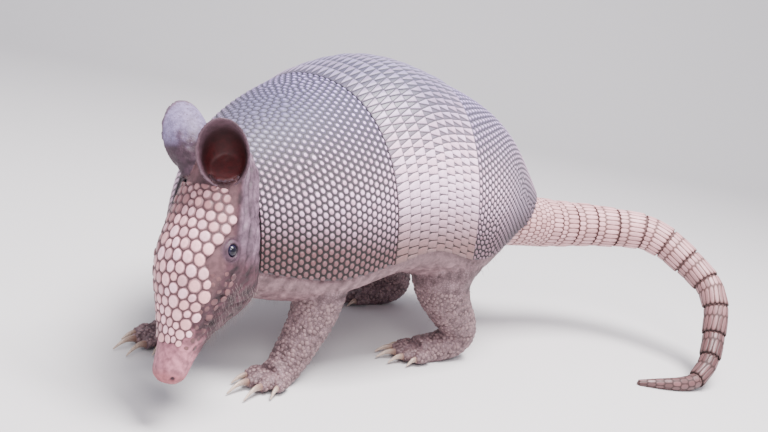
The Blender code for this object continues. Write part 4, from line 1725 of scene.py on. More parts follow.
@dataclass
class Skin:
    """The one skin over head, neck, trunk, ears and legs."""

    shell: ShellForm
    head: HeadForm
    ears: tuple[EarForm, EarForm]
    tail: TailForm
    root_depth: float = 0.0013
    plate: float = 0.0035
    under_plate: float = 0.0009
    belly: tuple[float, ...] = (0.018, 0.026, 0.030, 0.032, 0.032, 0.026, 0.014)
    mouth: Colour = (0.0, -0.146, 0.1085)
    mouth_size: tuple[float, float] = (0.0275, 0.0350)
    nape: Colour = (0.0, -0.012, -0.010)
    nape_size: tuple[float, float] = (0.0170, 0.0240)
    toe_radius: float = 0.0046
    toe_height: float = 0.0046
    claw_root: float = 0.0025
    voxel: float = 0.00085
    most_triangles: int = 190000
    lid_spot: float = 0.0085
    nose_spot: float = 0.013
    nose_station: float = 0.1085
    colours: Pigments = Pigments()

    def head_lump(self) -> Lump:
        """The head, drawn to a rounded nose."""
        distances = np.linspace(self.head.first, self.head.last, 96)
        angles = full_turn(84)
        rings = [self.head.at(distance, angles) for distance in distances]
        tip = rings[-1].mean(axis=0)
        ahead = unit(tip - rings[-8].mean(axis=0))
        for reach, scale in ((0.0007, 0.86), (0.0011, 0.6), (0.0012, 0.25)):
            rings.append(tip + (rings[95] - tip) * scale + ahead * reach)
        return Lump(rings, Zone.HEAD, np.concatenate((distances, (self.head.last,) * 3)))

    def neck_lump(self) -> Lump:
        """The neck, from inside the shell's mouth to the back of the head."""
        near, far = (STANCE.curved(np.array((x, self.mouth[1], 0.0))) for x in (0.0, 0.01))
        side = unit(far - near)
        up = np.array((0.0, 0.0, 1.0))
        angle = full_turn(60)[:, None]

        def oval(centre: Array, across: Array, upward: Array, size: tuple[float, float]) -> Array:
            """A ring of the neck."""
            return centre + across * (size[0] * np.cos(angle)) + upward * (size[1] * np.sin(angle))

        mouth = oval(STANCE.curved(np.array(self.mouth)), side, up, self.mouth_size)
        deep = np.array((0.0, self.mouth[1] + 0.03, self.mouth[2] - 0.006))
        inside = oval(STANCE.curved(deep), side, up, self.mouth_size)
        axes = self.head.axes
        nape = oval(self.head.posed(np.array(self.nape)), axes[0], axes[1], self.nape_size)
        steps = np.linspace(0.0, 1.0, 40)
        rings = [inside] + [mouth + (nape - mouth) * step for step in steps]
        return Lump(rings, Zone.NECK, np.concatenate(((-0.5,), steps)))

    def trunk_lump(self) -> Lump:
        """The trunk under the shell, with its belly."""
        depth_at = Spline(tuple((depth,) for depth in self.belly))
        stations = np.linspace(0.05, 5.94, 90)
        rings = []
        sides = np.linspace(0.0, 1.0, 60)
        angles = np.linspace(0.0, math.pi, 40)[1:-1]
        for station in stations:
            row = self.shell.station(np.array(station))
            arch = self.shell.at(np.full(60, station), sides, -self.plate - self.under_plate)
            width = row[4] - self.plate - self.under_plate
            x = -width * power(np.cos(angles), 0.85)
            z = row[1] - float(depth_at(np.array(station))[0]) * np.sin(angles)
            under = STANCE.curved(np.column_stack((x, np.full(len(x), row[0]), z)))
            rings.append(np.concatenate((arch, under)))
        for near, far, scale in ((0, 1, 0.74), (-1, -2, 0.86)):
            middle = rings[near].mean(axis=0)
            away = unit(middle - rings[far].mean(axis=0))
            reach = 0.010 if near == 0 else 0.002
            cap = middle + (rings[near] - middle) * scale + away * reach
            rings.insert(0, cap) if near == 0 else rings.append(cap)
        return Lump(rings, Zone.TRUNK, np.concatenate(((0.0,), stations, (6.0,))))

    def ear_lump(self, ear: EarForm) -> Lump:
        """One ear, its back and its inside as one wall.

        Args:
            ear: Its form.

        Returns:
            The loft.
        """
        outer, inner = np.linspace(-0.16, 1.0, 30), np.linspace(0.985, 0.30, 20)
        rings = [ear.ring(place, 0.0, 64) for place in outer]
        rings += [ear.ring(place, ear.wall, 64) for place in inner]
        floor = rings[-1]
        middle = floor.mean(axis=0)
        rings += [middle + (floor - middle) * scale for scale in (0.75, 0.5, 0.25, 0.08)]
        places = np.concatenate((outer, inner, (0.26, 0.22, 0.18, 0.14)))
        return Lump(rings, Zone.EAR_BACK, places, Zone.EAR_INSIDE, len(outer))

    def tail_root(self) -> Lump:
        """The flesh that joins the tail to the rump, inside its first ring."""
        places = np.linspace(-1.9, 0.4, 16)
        circle = full_turn(40)
        rings = [self.tail.at(place, circle, -self.root_depth) for place in places]
        return Lump(rings, Zone.TRUNK, np.full(16, 5.8))

    def toe_path(self, rows: Array, toe: Toe, side: Side) -> tuple[Array, Array, Array]:
        """Start, heading and end of a toe, in the straight body.

        Args:
            rows: The leg's rows.
            toe: The toe.
            side: The leg's side.

        Returns:
            Its start, heading and end, in the straight body.
        """
        angle = math.radians(toe.spread)
        ahead = np.array((side.value * math.sin(angle), -math.cos(angle), 0.0))
        foot = rows[-1]
        start = np.array((foot[0] + side.value * toe.offset, foot[1] + self.toe_radius, self.toe_height))
        return start, ahead, start + ahead * toe.length

    def leg_lumps(self, leg: Leg, side: Side) -> list[Lump]:
        """A leg and its toes.

        Args:
            leg: The leg.
            side: Its side.

        Returns:
            A loft for the limb and one for each toe.
        """
        rows = leg.placed(side)
        places = np.linspace(0.0, len(rows) - 1.0, 48)
        path = Spline(tuple(map(tuple, rows)))(places)
        limb = tube(STANCE.carried(path[:, :3], rows[0]), path[:, 3], 36, (0.0, 1.0, 0.02))
        lumps = [Lump(limb, Zone.LEG, places)]
        for toe in leg.toes:
            start, _, end = self.toe_path(rows, toe, side)
            knuckle = (start + end) / 2.0 + (0.0, 0.0, 0.0016)
            radius = self.toe_radius
            table = ((*start, radius), (*knuckle, radius * 1.06), (*end, radius * 0.72))
            rows_of_toe = Spline(table)(np.linspace(0.0, 2.0, 14))
            rings = tube(STANCE.carried(rows_of_toe[:, :3], rows[0]), rows_of_toe[:, 3], 20)
            lumps.append(Lump(rings, Zone.LEG, np.linspace(5.0, 6.0, 14)))
        return lumps

    def lumps(self) -> list[Lump]:
        """Every loft of flesh."""
        made = [self.head_lump(), self.neck_lump(), self.trunk_lump(), self.tail_root()]
        made += [self.ear_lump(ear) for ear in self.ears]
        for side in Side:
            for leg in (FRONT_LEG, HIND_LEG):
                made += self.leg_lumps(leg, side)
        return made

    def melted(self, lumps: list[Lump]) -> bpy.types.Mesh:
        """Melts the lofts into one closed skin.

        Args:
            lumps: The lofts.

        Returns:
            The skin.
        """
        form = bmesh.new()
        for lump in lumps:
            points, faces = loft(lump.rings)
            form.from_mesh(turned_out(mesh_from("lump", points, faces)))
        host = host_of(poured(form, bpy.data.meshes.new("flesh")))
        melt = host.modifiers.new("melt", "REMESH")
        melt.mode = "VOXEL"
        melt.voxel_size = self.voxel * 1.0
        calm = host.modifiers.new("calm", "SMOOTH")
        calm.factor = 0.5
        calm.iterations = 3
        return settled(host)

    def open_ears(self, points: Array, normals: Array, zones: Array, u: Array) -> Array:
        """Counts whatever shows in an ear's cup as its inside.

        Args:
            points: Points of the skin.
            normals: Their normals.
            zones: Their zones, which change.
            u: Their places along their parts, which change.

        Returns:
            How far each point lies toward the back of its ear, from 0 to 1.
        """
        back = np.zeros(len(points))
        for ear in self.ears:
            floor = ear.ring(0.40, ear.wall, 32)
            middle = floor.mean(axis=0)
            face = ear.face @ self.head.axes
            offset = points - middle
            near = np.linalg.norm(offset, axis=1)
            reach = np.linalg.norm(floor - middle, axis=1).max()
            inside = (near < reach * 1.05) & (normals @ face > 0.25)
            inside &= zones != Zone.EAR_INSIDE.value
            zones[inside] = Zone.EAR_INSIDE.value
            u[inside] = 0.3
            behind = ease(-0.001, 0.005, offset @ self.head.axes[1])
            back = np.where((near < 0.045) & (zones == Zone.EAR_BACK.value), behind, back)
        return back

    def labels(self, lumps: list[Lump], points: Array) -> tuple[Array, Array, Array]:
        """The zone, u and place on the unwrap of each point of the skin, from the nearest loft.

        Args:
            lumps: The lofts.
            points: Points of the skin.

        Returns:
            The zone, u and place on the unwrap of the loft point nearest to each.
        """
        rows = [lump.rows(number) for number, lump in enumerate(lumps)]
        places, zones, us, flat = (np.concatenate(part) for part in zip(*rows))
        tree = KDTree(len(places))
        for index, place in enumerate(places):
            tree.insert(place, index)
        tree.balance()
        nearest = np.array([tree.find(point)[1] for point in points])
        return zones[nearest], us[nearest], flat[nearest]

    def refined(self, mesh: bpy.types.Mesh) -> bpy.types.Mesh:
        """Halves the faces round the eyes and the nose twice, for lids and nostrils.

        Args:
            mesh: The skin, which changes.

        Returns:
            The skin.
        """
        form = bmesh.new()
        form.from_mesh(mesh)
        spots = [(self.head.eye(side), self.lid_spot) for side in Side]
        spots.append((self.head.at(self.nose_station, 0.0), self.nose_spot))
        for _ in range(2):
            form.verts.ensure_lookup_table()
            places = np.array([vert.co for vert in form.verts])
            near = np.zeros(len(places), bool)
            for spot, radius in spots:
                near |= np.linalg.norm(places - spot, axis=1) < radius
            chosen = {form.verts[int(index)] for index in np.flatnonzero(near)}
            edges = [edge for edge in form.edges if edge.verts[0] in chosen and edge.verts[1] in chosen]
            bmesh.ops.subdivide_edges(form, edges=edges, cuts=1, use_grid_fill=True)
        return poured(form, mesh)

    def lids(self, points: Array) -> Array:
        """How far each point moves to form sockets and lids.

        Args:
            points: Points of the head's skin.

        Returns:
            How far each moves.
        """
        moved = np.zeros_like(points)
        for side in Side:
            station, angle = np.array(self.head.eye_station), np.array(side.value * self.head.eye_angle)
            middle = self.head.at(station, angle)
            out = unit(self.head.at(station, angle, 0.01) - middle)
            ahead = unit(self.head.at(station + 0.002, angle) - middle)
            up = np.cross(out, ahead)
            offset = points - middle
            a, b, depth = offset @ ahead, offset @ up, offset @ out
            r = 1000.0 * np.hypot(a / 1.10, b / 0.96)
            rise = -3.6 * (1.0 - ease(2.85, 3.20, r)) + 0.90 * bump(r, 4.1, 0.75)
            rise += -0.45 * bump(r, 5.6, 0.5) + 0.25 * bump(r, 6.7, 0.6) - 0.25 * bump(r, 7.9, 0.6)
            near = (depth > -0.006) & (r < 12.0)
            moved[near] += out * (0.001 * rise[near])[:, None]
        return moved

    def nostrils_and_mouth(self, local: Array) -> Array:
        """Depth of the nostrils and of the mouth's line at points of the head's frame.

        Args:
            local: Points in the head's frame.

        Returns:
            Depth at each point.
        """
        depth = np.zeros(len(local))
        for side in Side:
            depth += 0.0018 * bump(np.linalg.norm(local - self.head.nostril(side), axis=1), 0.0, 0.0014)
        along, angle = self.head.places(local)
        line = bump(angle, 118.0 + 50.0 * ease(0.072, 0.050, along), 3.2)
        depth += 0.0008 * line * ease(0.052, 0.062, along) * ease(0.1125, 0.108, along)
        return depth

    def folds(self, points: Array, local: Array, zones: Array, u: Array) -> Array:
        """Height of the folds and wrinkles along the skin's normal, in metres.

        Args:
            points: Points of the skin.
            local: The same in the head's frame.
            zones: Their zones.
            u: Their places along their parts.

        Returns:
            Heights along the normal, in metres.
        """
        wobble = ripple(points, 0.024, 21)
        along, angle = self.head.places(local)
        is_head = zones == Zone.HEAD.value
        # long folds that run down the side of the neck behind the cheek
        behind = ease(101.0, 112.0, angle) * ease(0.050, 0.034, along)
        drape = ridges((angle - 96.0) / 13.0 + 0.28 * wobble)
        height = np.where(is_head, 0.0017 * drape * behind, 0.0)
        neck = ridges(5.2 * u + 0.22 * wobble)
        height += np.where(zones == Zone.NECK.value, 0.0019 * neck, 0.0)
        # short creases that slant over the cheek below the eye
        slant = ridges((local @ np.array((0.35, 0.80, 0.50))) / 0.0042 + 0.55 * wobble)
        low = ease(84.0, 98.0, angle) * ease(0.098, 0.080, along) * ease(0.038, 0.050, along)
        height += np.where(is_head, 0.00062 * slant * low, 0.0)
        pucker = ripple(points, 0.0052, 33)
        below, ahead = ease(86.0, 100.0, angle), ease(0.104, 0.090, along)
        height += np.where(is_head, 0.00026 * pucker * below * ahead, 0.0)
        chin = ridges((along - 0.02) / 0.0075 + 0.3 * wobble)
        height += np.where(is_head, 0.0004 * chin * ease(140.0, 155.0, angle), 0.0)
        belly = ridges(11.0 * u + 0.3 * wobble)
        height += np.where(zones == Zone.TRUNK.value, 0.0008 * belly, 0.0)
        crease = ridges(3.2 * u + 0.3 * wobble)
        height += np.where((zones == Zone.LEG.value) & (u < 5.0), 0.0007 * crease, 0.0)
        warts = ripple(points, 0.0026, 55) * ease(0.75, 0.35, u)
        height += np.where(zones == Zone.EAR_BACK.value, 0.00022 * warts, 0.0)
        return height

    def pigment(
        self, points: Array, local: Array, zones: Array, u: Array, height: Array, back: Array
    ) -> Array:
        """The skin's colour at each point, with painted shade in the creases.

        Args:
            points: Points of the skin.
            local: The same in the head's frame.
            zones: Their zones.
            u: Their places along their parts.
            height: Height of the folds at each; creases get painted shade.
            back: How far each lies toward the back of its ear.

        Returns:
            A colour for each point.
        """
        along, angle = self.head.places(local)
        mottle = 0.5 + 0.35 * ripple(points, 0.0085, 8) + 0.15 * ripple(points, 0.003, 9)
        table = self.colours

        def blend(one: Array, two: Array, share: Array) -> Array:
            """Colours between two, by a share from 0 to 1."""
            return one + (two - one) * np.clip(share, 0.0, 1.0)[:, None]

        colour = np.empty((len(points), 3))
        neck, leg, trunk, head = (
            blend(table[f"{part}_dark"], table[f"{part}_light"], mottle)
            for part in ("neck", "leg", "belly", "cheek")
        )
        behind = ease(0.044, 0.026, along) * ease(96.0, 108.0, angle)
        head = blend(head, neck, behind)
        patches = ease(0.50, 0.85, 0.5 + 0.5 * ripple(points, 0.0042, 12))
        rosy = blend(table["snout"], 0.62 * table["snout"], patches)
        head = blend(head, rosy, ease(0.076, 0.094, along + 0.006 * mottle - 0.0002 * (angle - 80.0)))
        head = blend(head, table["nose"], ease(0.1045, 0.1105, along))
        head = blend(head, table["brow"], ease(98.0, 86.0, angle) * ease(0.07, 0.06, along))
        for side in Side:
            eye = self.head.local(self.head.eye(side))
            r = 1000.0 * np.linalg.norm(local - eye, axis=1)
            head = blend(head, table["lid"], ease(8.8, 6.2, r))
            head = blend(head, table["lid_rim"], ease(5.0, 4.6, r))
            # painted shade: each nostril's dent is filled with the dark lid-rim colour
            away = np.linalg.norm(local - self.head.nostril(side), axis=1)
            head = blend(head, table["lid_rim"], ease(0.0019, 0.0010, away))
        pale_back = back * ease(0.30, 0.75, u + 0.2 * (mottle - 0.5))
        ear_back = blend(table["ear_foot"], table["ear_back"], pale_back)
        ear_back = blend(ear_back, table["ear_rim"], ease(0.90, 0.99, u))
        inside = blend(table["ear_deep"], table["ear_inside"], ease(0.45, 0.72, u))
        inside = blend(inside, table["ear_rim"], ease(0.70, 0.93, u))
        options = {
            Zone.HEAD: head, Zone.NECK: neck, Zone.TRUNK: trunk, Zone.LEG: leg,
            Zone.EAR_BACK: ear_back, Zone.EAR_INSIDE: inside,
        }
        for zone, values in options.items():
            picked = zones == zone.value
            colour[picked] = values[picked]
        # painted shade: the skin is darkened where the folds sink
        return colour * (1.0 - 0.55 * ease(0.0, -0.0009, height))[:, None]

    def thinned(self, mesh: bpy.types.Mesh, zones: Array, points: Array) -> bpy.types.Mesh:
        """Takes faces away, mostly where the shell hides the skin.

        Args:
            mesh: The skin.
            zones: The zones of its points.
            points: Its points.

        Returns:
            The skin with fewer faces.
        """
        total = sum(len(face.vertices) - 2 for face in mesh.polygons)
        if total <= self.most_triangles:
            return mesh
        host = host_of(mesh)
        group = host.vertex_groups.new(name="hidden")
        hidden = (zones == Zone.TRUNK.value) & (points[:, 2] > 0.080)
        rest = (zones == Zone.TRUNK.value) | (zones == Zone.LEG.value)
        for mask, weight in ((hidden, 1.0), (rest & ~hidden, 0.35), (~rest, 0.04)):
            group.add(np.flatnonzero(mask).tolist(), weight, "REPLACE")
        thin = host.modifiers.new("thin", "DECIMATE")
        thin.vertex_group = group.name
        thin.vertex_group_factor = 1.0
        thin.ratio = self.most_triangles / total
        return settled(host)

    def build(self, look: "Looks") -> "Pelt":
        """Makes the skin, and returns its surface for what grows on it.

        Args:
            look: The finishes.

        Returns:
            The surface, for what grows on it.
        """
        lumps = self.lumps()
        mesh = self.refined(self.melted(lumps))
        points = positions(mesh)
        zones, u, flat = self.labels(lumps, points)
        local = self.head.local(points)
        normals = normals_of(mesh)
        back = self.open_ears(points, normals, zones, u)
        is_head = zones == Zone.HEAD.value
        height = self.folds(points, local, zones, u)
        points += normals * height[:, None]
        points[is_head] -= normals[is_head] * self.nostrils_and_mouth(local[is_head])[:, None]
        points[is_head] += self.lids(points[is_head])
        points[:, 2] = np.maximum(points[:, 2], 0.0)
        move_to(mesh, points)
        colour = self.pigment(points, local, zones, u, height, back)
        # the skin's colours, with painted shade in its creases and nostrils
        note(mesh, "pigment", "FLOAT_COLOR", "POINT", np.column_stack((colour, np.ones(len(points)))))
        cobbled = [zones == zone.value for zone in (Zone.LEG, Zone.EAR_BACK, Zone.TRUNK)]
        note(mesh, "scaly", "FLOAT", "POINT", np.select(cobbled, [0.8, 0.3, 0.3], 0.12))
        pelt = Pelt(points, normals_of(mesh), zones, u, flat, local, back)
        mesh = self.thinned(mesh, zones, points)
        nodes = ("head", "neck", "trunk", "ear_left", "ear_right", "leg_front_left", "leg_front_right")
        show("skin", mesh, look.hide, nodes + ("leg_hind_left", "leg_hind_right"))
        return pelt


@dataclass
class Pelt:
    """The skin's surface as points, with the normal, zone, u, unwrap place and head place of each.

    The last field is how far each lies toward the back of its ear.
    """

    points: Array
    normals: Array
    zones: Array
    u: Array
    flat: Array
    local: Array
    back: Array

    def spread(self, mask: Array, sowing: "Sowing") -> Array:
        """Picks points at random from a region.

        Args:
            mask: The region.
            sowing: How close and how many they are.

        Returns:
            The points' numbers.
        """
        spacing = sowing.spacing
        chance = np.random.default_rng(sowing.seed)
        order = chance.permutation(np.flatnonzero(mask))
        cell = np.floor(self.points / spacing).astype(int)
        taken: dict[tuple[int, ...], list[int]] = {}
        around = [(i, j, k) for i in (-1, 0, 1) for j in (-1, 0, 1) for k in (-1, 0, 1)]
        kept = []
        for index in order:
            key = tuple(cell[index])
            near = [n for i, j, k in around for n in taken.get((key[0] + i, key[1] + j, key[2] + k), ())]
            if near and np.linalg.norm(self.points[near] - self.points[index], axis=1).min() < spacing:
                continue
            taken.setdefault(key, []).append(index)
            kept.append(index)
            if len(kept) >= sowing.most:
                break
        return np.array(kept, int)


@dataclass(frozen=True)
class Sowing:
    """How one kind of growth is set: the least spacing, the most of it and the seed of its places."""

    spacing: float
    most: int
    seed: int


@dataclass
class Coat:
    """What grows on the skin: bristles on the jaw, hairs on belly and legs, small scales, warts."""

    head: HeadForm
    jaw_length: float = 0.0062
    cheek_hair_length: float = 0.45 * 0.0062
    hair_length: float = 0.0055
    hair_sink: float = 0.0003
    hair_clearance: float = 0.0005
    scale_size: float = 0.00155
    cheek_scale_size: float = 0.0021
    wart_size: float = 0.00045
    jaw: Sowing = Sowing(0.0019, 620, 41)
    cheek: Sowing = Sowing(0.0046, 160, 42)
    belly: Sowing = Sowing(0.0062, 1500, 43)
    leg_scales: Sowing = Sowing(0.0026, 4200, 44)
    warts: Sowing = Sowing(0.0016, 1800, 45)
    cheek_scales: Sowing = Sowing(0.0041, 140, 47)

    def hairs(
        self, name: str, tree: Growth, pelt: Pelt, picked: Array, lean: Array, length: float,
        look: bpy.types.Material,
    ) -> None:
        """Grows one group of hairs.

        Args:
            name: The piece's name.
            tree: The tree that grows bristles.
            pelt: The skin.
            picked: Numbers of the roots.
            lean: The direction they lean to, for each root.
            length: Their mean length.
            look: Their finish.
        """
        chance = np.random.default_rng(len(picked))
        out = unit(pelt.normals[picked] + lean + chance.normal(0.0, 0.16, (len(picked), 3)))
        roots = pelt.points[picked] - pelt.normals[picked] * self.hair_sink
        size = length * chance.uniform(0.55, 1.15, len(picked))
        room = roots[:, 2] + out[:, 2] * size > self.hair_clearance
        mesh = points_mesh(f"{name}_roots", roots[room], out[room], size[room], pelt.flat[picked][room])
        show(name, tree.run(mesh, Material=look), look)

    def build(self, grains: Growth, bristles: Growth, pelt: Pelt, look: "Looks") -> None:
        """Grows everything.

        Args:
            grains: The tree that sets beads.
            bristles: The tree that grows bristles.
            pelt: The skin.
            look: The finishes.
        """
        along, angle = self.head.places(pelt.local)
        is_head = pelt.zones == Zone.HEAD.value
        toward_nose = -self.head.axes[1]
        jaw = is_head & (angle > 114.0) & (along > 0.050) & (along < 0.084)
        picked = pelt.spread(jaw, self.jaw)
        back = pelt.normals[picked] * 0.1 + toward_nose * 0.8
        self.hairs("jaw_bristles", bristles, pelt, picked, back, self.jaw_length, look.bristle)
        cheek = is_head & (angle > 88.0) & (angle < 112.0) & (along > 0.044) & (along < 0.100)
        picked = pelt.spread(cheek, self.cheek)
        lean = np.tile(toward_nose * 1.2, (len(picked), 1))
        self.hairs("cheek_hairs", bristles, pelt, picked, lean, self.cheek_hair_length, look.bristle)
        low = (pelt.zones == Zone.TRUNK.value) & (pelt.points[:, 2] < 0.085)
        limb = (pelt.zones == Zone.LEG.value) & (pelt.points[:, 2] > 0.015)
        picked = pelt.spread(low | limb, self.belly)
        lean = np.tile((0.0, 0.35, -0.75), (len(picked), 1))
        self.hairs("belly_hairs", bristles, pelt, picked, lean, self.hair_length, look.bristle)
        lower = (pelt.zones == Zone.LEG.value) & (pelt.points[:, 2] < 0.058) & (pelt.points[:, 2] > 0.004)
        picked = pelt.spread(lower, self.leg_scales)
        self.beads("leg_scales", grains, pelt, picked, self.scale_size, look.leg_scale)
        backs = (pelt.back > 0.9) & (pelt.u < 0.8) & (pelt.u > 0.02)
        picked = pelt.spread(backs, self.warts)
        picked = picked[np.random.default_rng(46).random(len(picked)) < 1.05 - 0.75 * pelt.u[picked]]
        self.beads("ear_warts", grains, pelt, picked, self.wart_size, look.ear_wart)
        dull = is_head & (angle > 76.0) & (angle < 112.0) & (along > 0.047) & (along < 0.092)
        picked = pelt.spread(dull, self.cheek_scales)
        self.beads("cheek_scales", grains, pelt, picked, self.cheek_scale_size, look.cheek_scale, 0.16, 9)

    def beads(
        self, name: str, tree: Growth, pelt: Pelt, picked: Array, size: float, look: bpy.types.Material,
        flatness: float = 0.40, sides: int = 6,
    ) -> None:
        """Sets flattened beads on the skin, level with it.

        Args:
            name: The piece's name.
            tree: The tree that sets beads.
            pelt: The skin.
            picked: Numbers of their places.
            size: Their mean radius.
            look: Their finish.
            flatness: Their height as a share of the radius.
            sides: Facets round each.
        """
        chance = np.random.default_rng(len(picked))
        sizes = size * chance.uniform(0.7, 1.2, len(picked))
        normals = pelt.normals[picked]
        roots = pelt.points[picked] - normals * (0.10 * sizes)[:, None]
        mesh = points_mesh(f"{name}_roots", roots, normals, sizes, pelt.flat[picked])
        show(name, tree.run(mesh, Material=look, Flatness=flatness, Sides=sides), look)


# ---------------------------------------------------------------- eyes and claws
@dataclass
class Eyes:
    """Two dark glossy eyeballs, set behind the lids."""

    head: HeadForm
    bulge: float = 0.0007
    segments: int = 48
    rings: int = 32

    def build(self, look: "Looks") -> None:
        """Makes both eyes.

        Args:
            look: The finishes.
        """
        for side in Side:
            form = bmesh.new()
            bmesh.ops.create_uvsphere(
                form, u_segments=self.segments, v_segments=self.rings, radius=self.head.eye_radius
            )
            mesh = poured(form, bpy.data.meshes.new("eye"))
            middle = self.head.eye(side)
            angle = np.array(side.value * self.head.eye_angle)
            out = unit(self.head.at(np.array(self.head.eye_station), angle, 0.01) - middle)
            places = positions(mesh)
            reach = places @ out
            front = ease(0.0021, 0.0042, reach)
            places += out * (self.bulge * front)[:, None]
            note(mesh, "front", "FLOAT", "POINT", reach / self.head.eye_radius)
            move_to(mesh, places + middle)
            show(f"eyeball_{side.label}", mesh, look.eye, (f"eye_{side.label}",))


@dataclass
class Claws:
    """The digging claws of all four feet."""

    skin: Skin
    radius: float = 0.0026
    arch: float = 0.11
    drop: float = 0.0028
    squash: float = 0.72
    sides: int = 20
    sections: int = 22

    def claw(self, leg: Leg, side: Side, toe: Toe) -> bpy.types.Mesh:
        """Makes one claw as a bent, pointed loft.

        Args:
            leg: Its leg.
            side: The leg's side.
            toe: Its toe.

        Returns:
            A mesh with the attribute along, from 0 at the root to 1 at the point.
        """
        rows = leg.placed(side)
        _, ahead, end = self.skin.toe_path(rows, toe, side)
        root = end - ahead * self.skin.claw_root
        length = toe.claw + self.skin.claw_root
        t = np.linspace(0.0, 1.0, self.sections)
        lift = self.arch * length * np.sin(math.pi * t) - self.drop * t**2
        path = root + ahead * (length * t)[:, None] + np.column_stack((0.0 * t, 0.0 * t, lift))
        radii = self.radius * (1.0 - 0.78 * t**1.4)
        rings = tube(STANCE.carried(path, rows[0]), radii, self.sides, squash=self.squash)
        tip = rings[-1].mean(axis=0)
        heading = unit(tip - rings[-2].mean(axis=0))
        end = rings[-1] - tip
        rings += [tip + end * scale + heading * reach for scale, reach in ((0.7, 0.0002), (0.3, 0.0003))]
        points, faces = loft(rings)
        points[:, 2] = np.maximum(points[:, 2], 0.0)
        mesh = turned_out(mesh_from("claw", points, faces))
        along = np.concatenate((t, (1.0, 1.0)))
        note(mesh, "along", "FLOAT", "POINT", np.repeat(along, self.sides))
        return mesh

    def build(self, look: "Looks") -> None:
        """Makes all eighteen claws.

        Args:
            look: The finishes.
        """
        for side in Side:
            for leg in (FRONT_LEG, HIND_LEG):
                for number, toe in enumerate(leg.toes, 1):
                    name = f"claw_{leg.name}_{side.label}_{number}"
                    show(f"{name}_nail", self.claw(leg, side, toe), look.claw, (name,))


# ---------------------------------------------------------------- finishes
class Finish(Tree):
    """A material under construction round its one shader."""

    family = "ShaderNode"

    def __init__(self, name: str, rough: float, sheen: float = 0.5) -> None:
        """Starts a material.

        Args:
            name: Its name.
            rough: Its roughness.
            sheen: Its specular level.
        """
        self.material = bpy.data.materials.new(name)
        self.material.use_nodes = True
        super().__init__(self.material.node_tree)
        self.tree.nodes.clear()
        self.shader = self.node("BsdfPrincipled", {"Roughness": rough, "Specular IOR Level": sheen})
        out = self.node("OutputMaterial")
        self.tree.links.new(self.shader.outputs["BSDF"], out.inputs["Surface"])

    def attribute(self, name: str) -> bpy.types.NodeSocket:
        """The value of an attribute."""
        return self.node("Attribute", attribute_name=name).outputs["Fac"]

    def place(self) -> bpy.types.NodeSocket:
        """The point's place on the piece."""
        return self.node("TexCoord").outputs["Object"]

    def shared(self, group: bpy.types.NodeTree, **sockets: object) -> bpy.types.Node:
        """Adds a shared group."""
        return self.node("Group", sockets, node_tree=group)

    def use(self, **sockets: object) -> bpy.types.Material:
        """Sets or links the shader's sockets, named with _ for a space, and returns the material."""
        self.feed(self.shader, {label.replace("_", " "): value for label, value in sockets.items()})
        return self.material


class Shared(Tree):
    """A shader group that several finishes use."""

    family = "ShaderNode"

    def __init__(self, name: str, inputs: dict[str, tuple[str, object]], outputs: dict[str, str]) -> None:
        """Starts a group.

        Args:
            name: Its name.
            inputs: Kind and default of each input.
            outputs: Kind of each output.
        """
        super().__init__(bpy.data.node_groups.new(name, "ShaderNodeTree"))
        for label, (kind, value) in inputs.items():
            socket = self.tree.interface.new_socket(label, in_out="INPUT", socket_type=f"NodeSocket{kind}")
            if value is not None:
                socket.default_value = value
        for label, kind in outputs.items():
            self.tree.interface.new_socket(label, in_out="OUTPUT", socket_type=f"NodeSocket{kind}")
        self.start = self.tree.nodes.new("NodeGroupInput").outputs
        self.end = self.tree.nodes.new("NodeGroupOutput").inputs

    def give(self, **values: bpy.types.NodeSocket) -> bpy.types.NodeTree:
        """Links the outputs and returns the group."""
        for label, value in values.items():
            self.tree.links.new(value, self.end[label])
        return self.tree


def mixed(tree: Tree, share: object, one: object, two: object, blend: str = "MIX") -> bpy.types.NodeSocket:
    """A mix of two colours.

    Args:
        tree: The tree to add it to.
        share: Share of the second colour.
        one: The first colour, as a link or as three numbers.
        two: The second.
        blend: How they mix.

    Returns:
        The mixed colour.
    """
    sockets = {0: share, 6: one, 7: two}
    for index, value in sockets.items():
        if isinstance(value, tuple):
            sockets[index] = (*value, 1.0)
    return tree.node("ShaderNodeMix", sockets, data_type="RGBA", blend_type=blend).outputs[2]


def tinted(tree: Tree, colour: object, tint: Colour) -> bpy.types.NodeSocket:
    """A colour multiplied by a tint."""
    return mixed(tree, 1.0, colour, tint, "MULTIPLY")


def ranged(
    tree: Tree, value: object, low: float, high: float, start: float = 0.0, stop: float = 1.0
) -> bpy.types.NodeSocket:
    """A value eased from start, at low, to stop, at high.

    Args:
        tree: The tree to add it to.
        value: The value.
        low: Where the result is start.
        high: Where the result is stop.
        start: The result at low.
        stop: The result at high.

    Returns:
        The eased value.
    """
    sockets = {"Value": value, "From Min": low, "From Max": high, "To Min": start, "To Max": stop}
    return tree.node("ShaderNodeMapRange", sockets, interpolation_type="SMOOTHSTEP").outputs["Result"]


def grit_group() -> bpy.types.NodeTree:
    """Fine pores, grain and dust: a mottle from 0 to 1 and a normal."""
    inputs = {"Place": ("Vector", None), "Size": ("Float", 0.002), "Depth": ("Float", 0.0002)}
    group = Shared("grit", inputs, {"Mottle": "Float", "Normal": "Vector"})
    scale = group.math("DIVIDE", 1.0, group.start["Size"])
    coarse = group.node("TexNoise", {"Vector": group.start["Place"], "Scale": scale, "Detail": 4.0})
    finer = group.math("MULTIPLY", scale, 3.2)
    pores = group.node("TexVoronoi", {"Vector": group.start["Place"], "Scale": finer}, feature="SMOOTH_F1")
    sunk = group.math("MULTIPLY", pores.outputs["Distance"], -0.5)
    height = group.math("ADD", coarse.outputs["Fac"], sunk)
    normal = group.node("Bump", {"Height": height, "Distance": group.start["Depth"], "Strength": 0.8})
    mottle = ranged(group, coarse.outputs["Fac"], 0.36, 0.64)
    return group.give(Mottle=mottle, Normal=normal.outputs["Normal"])


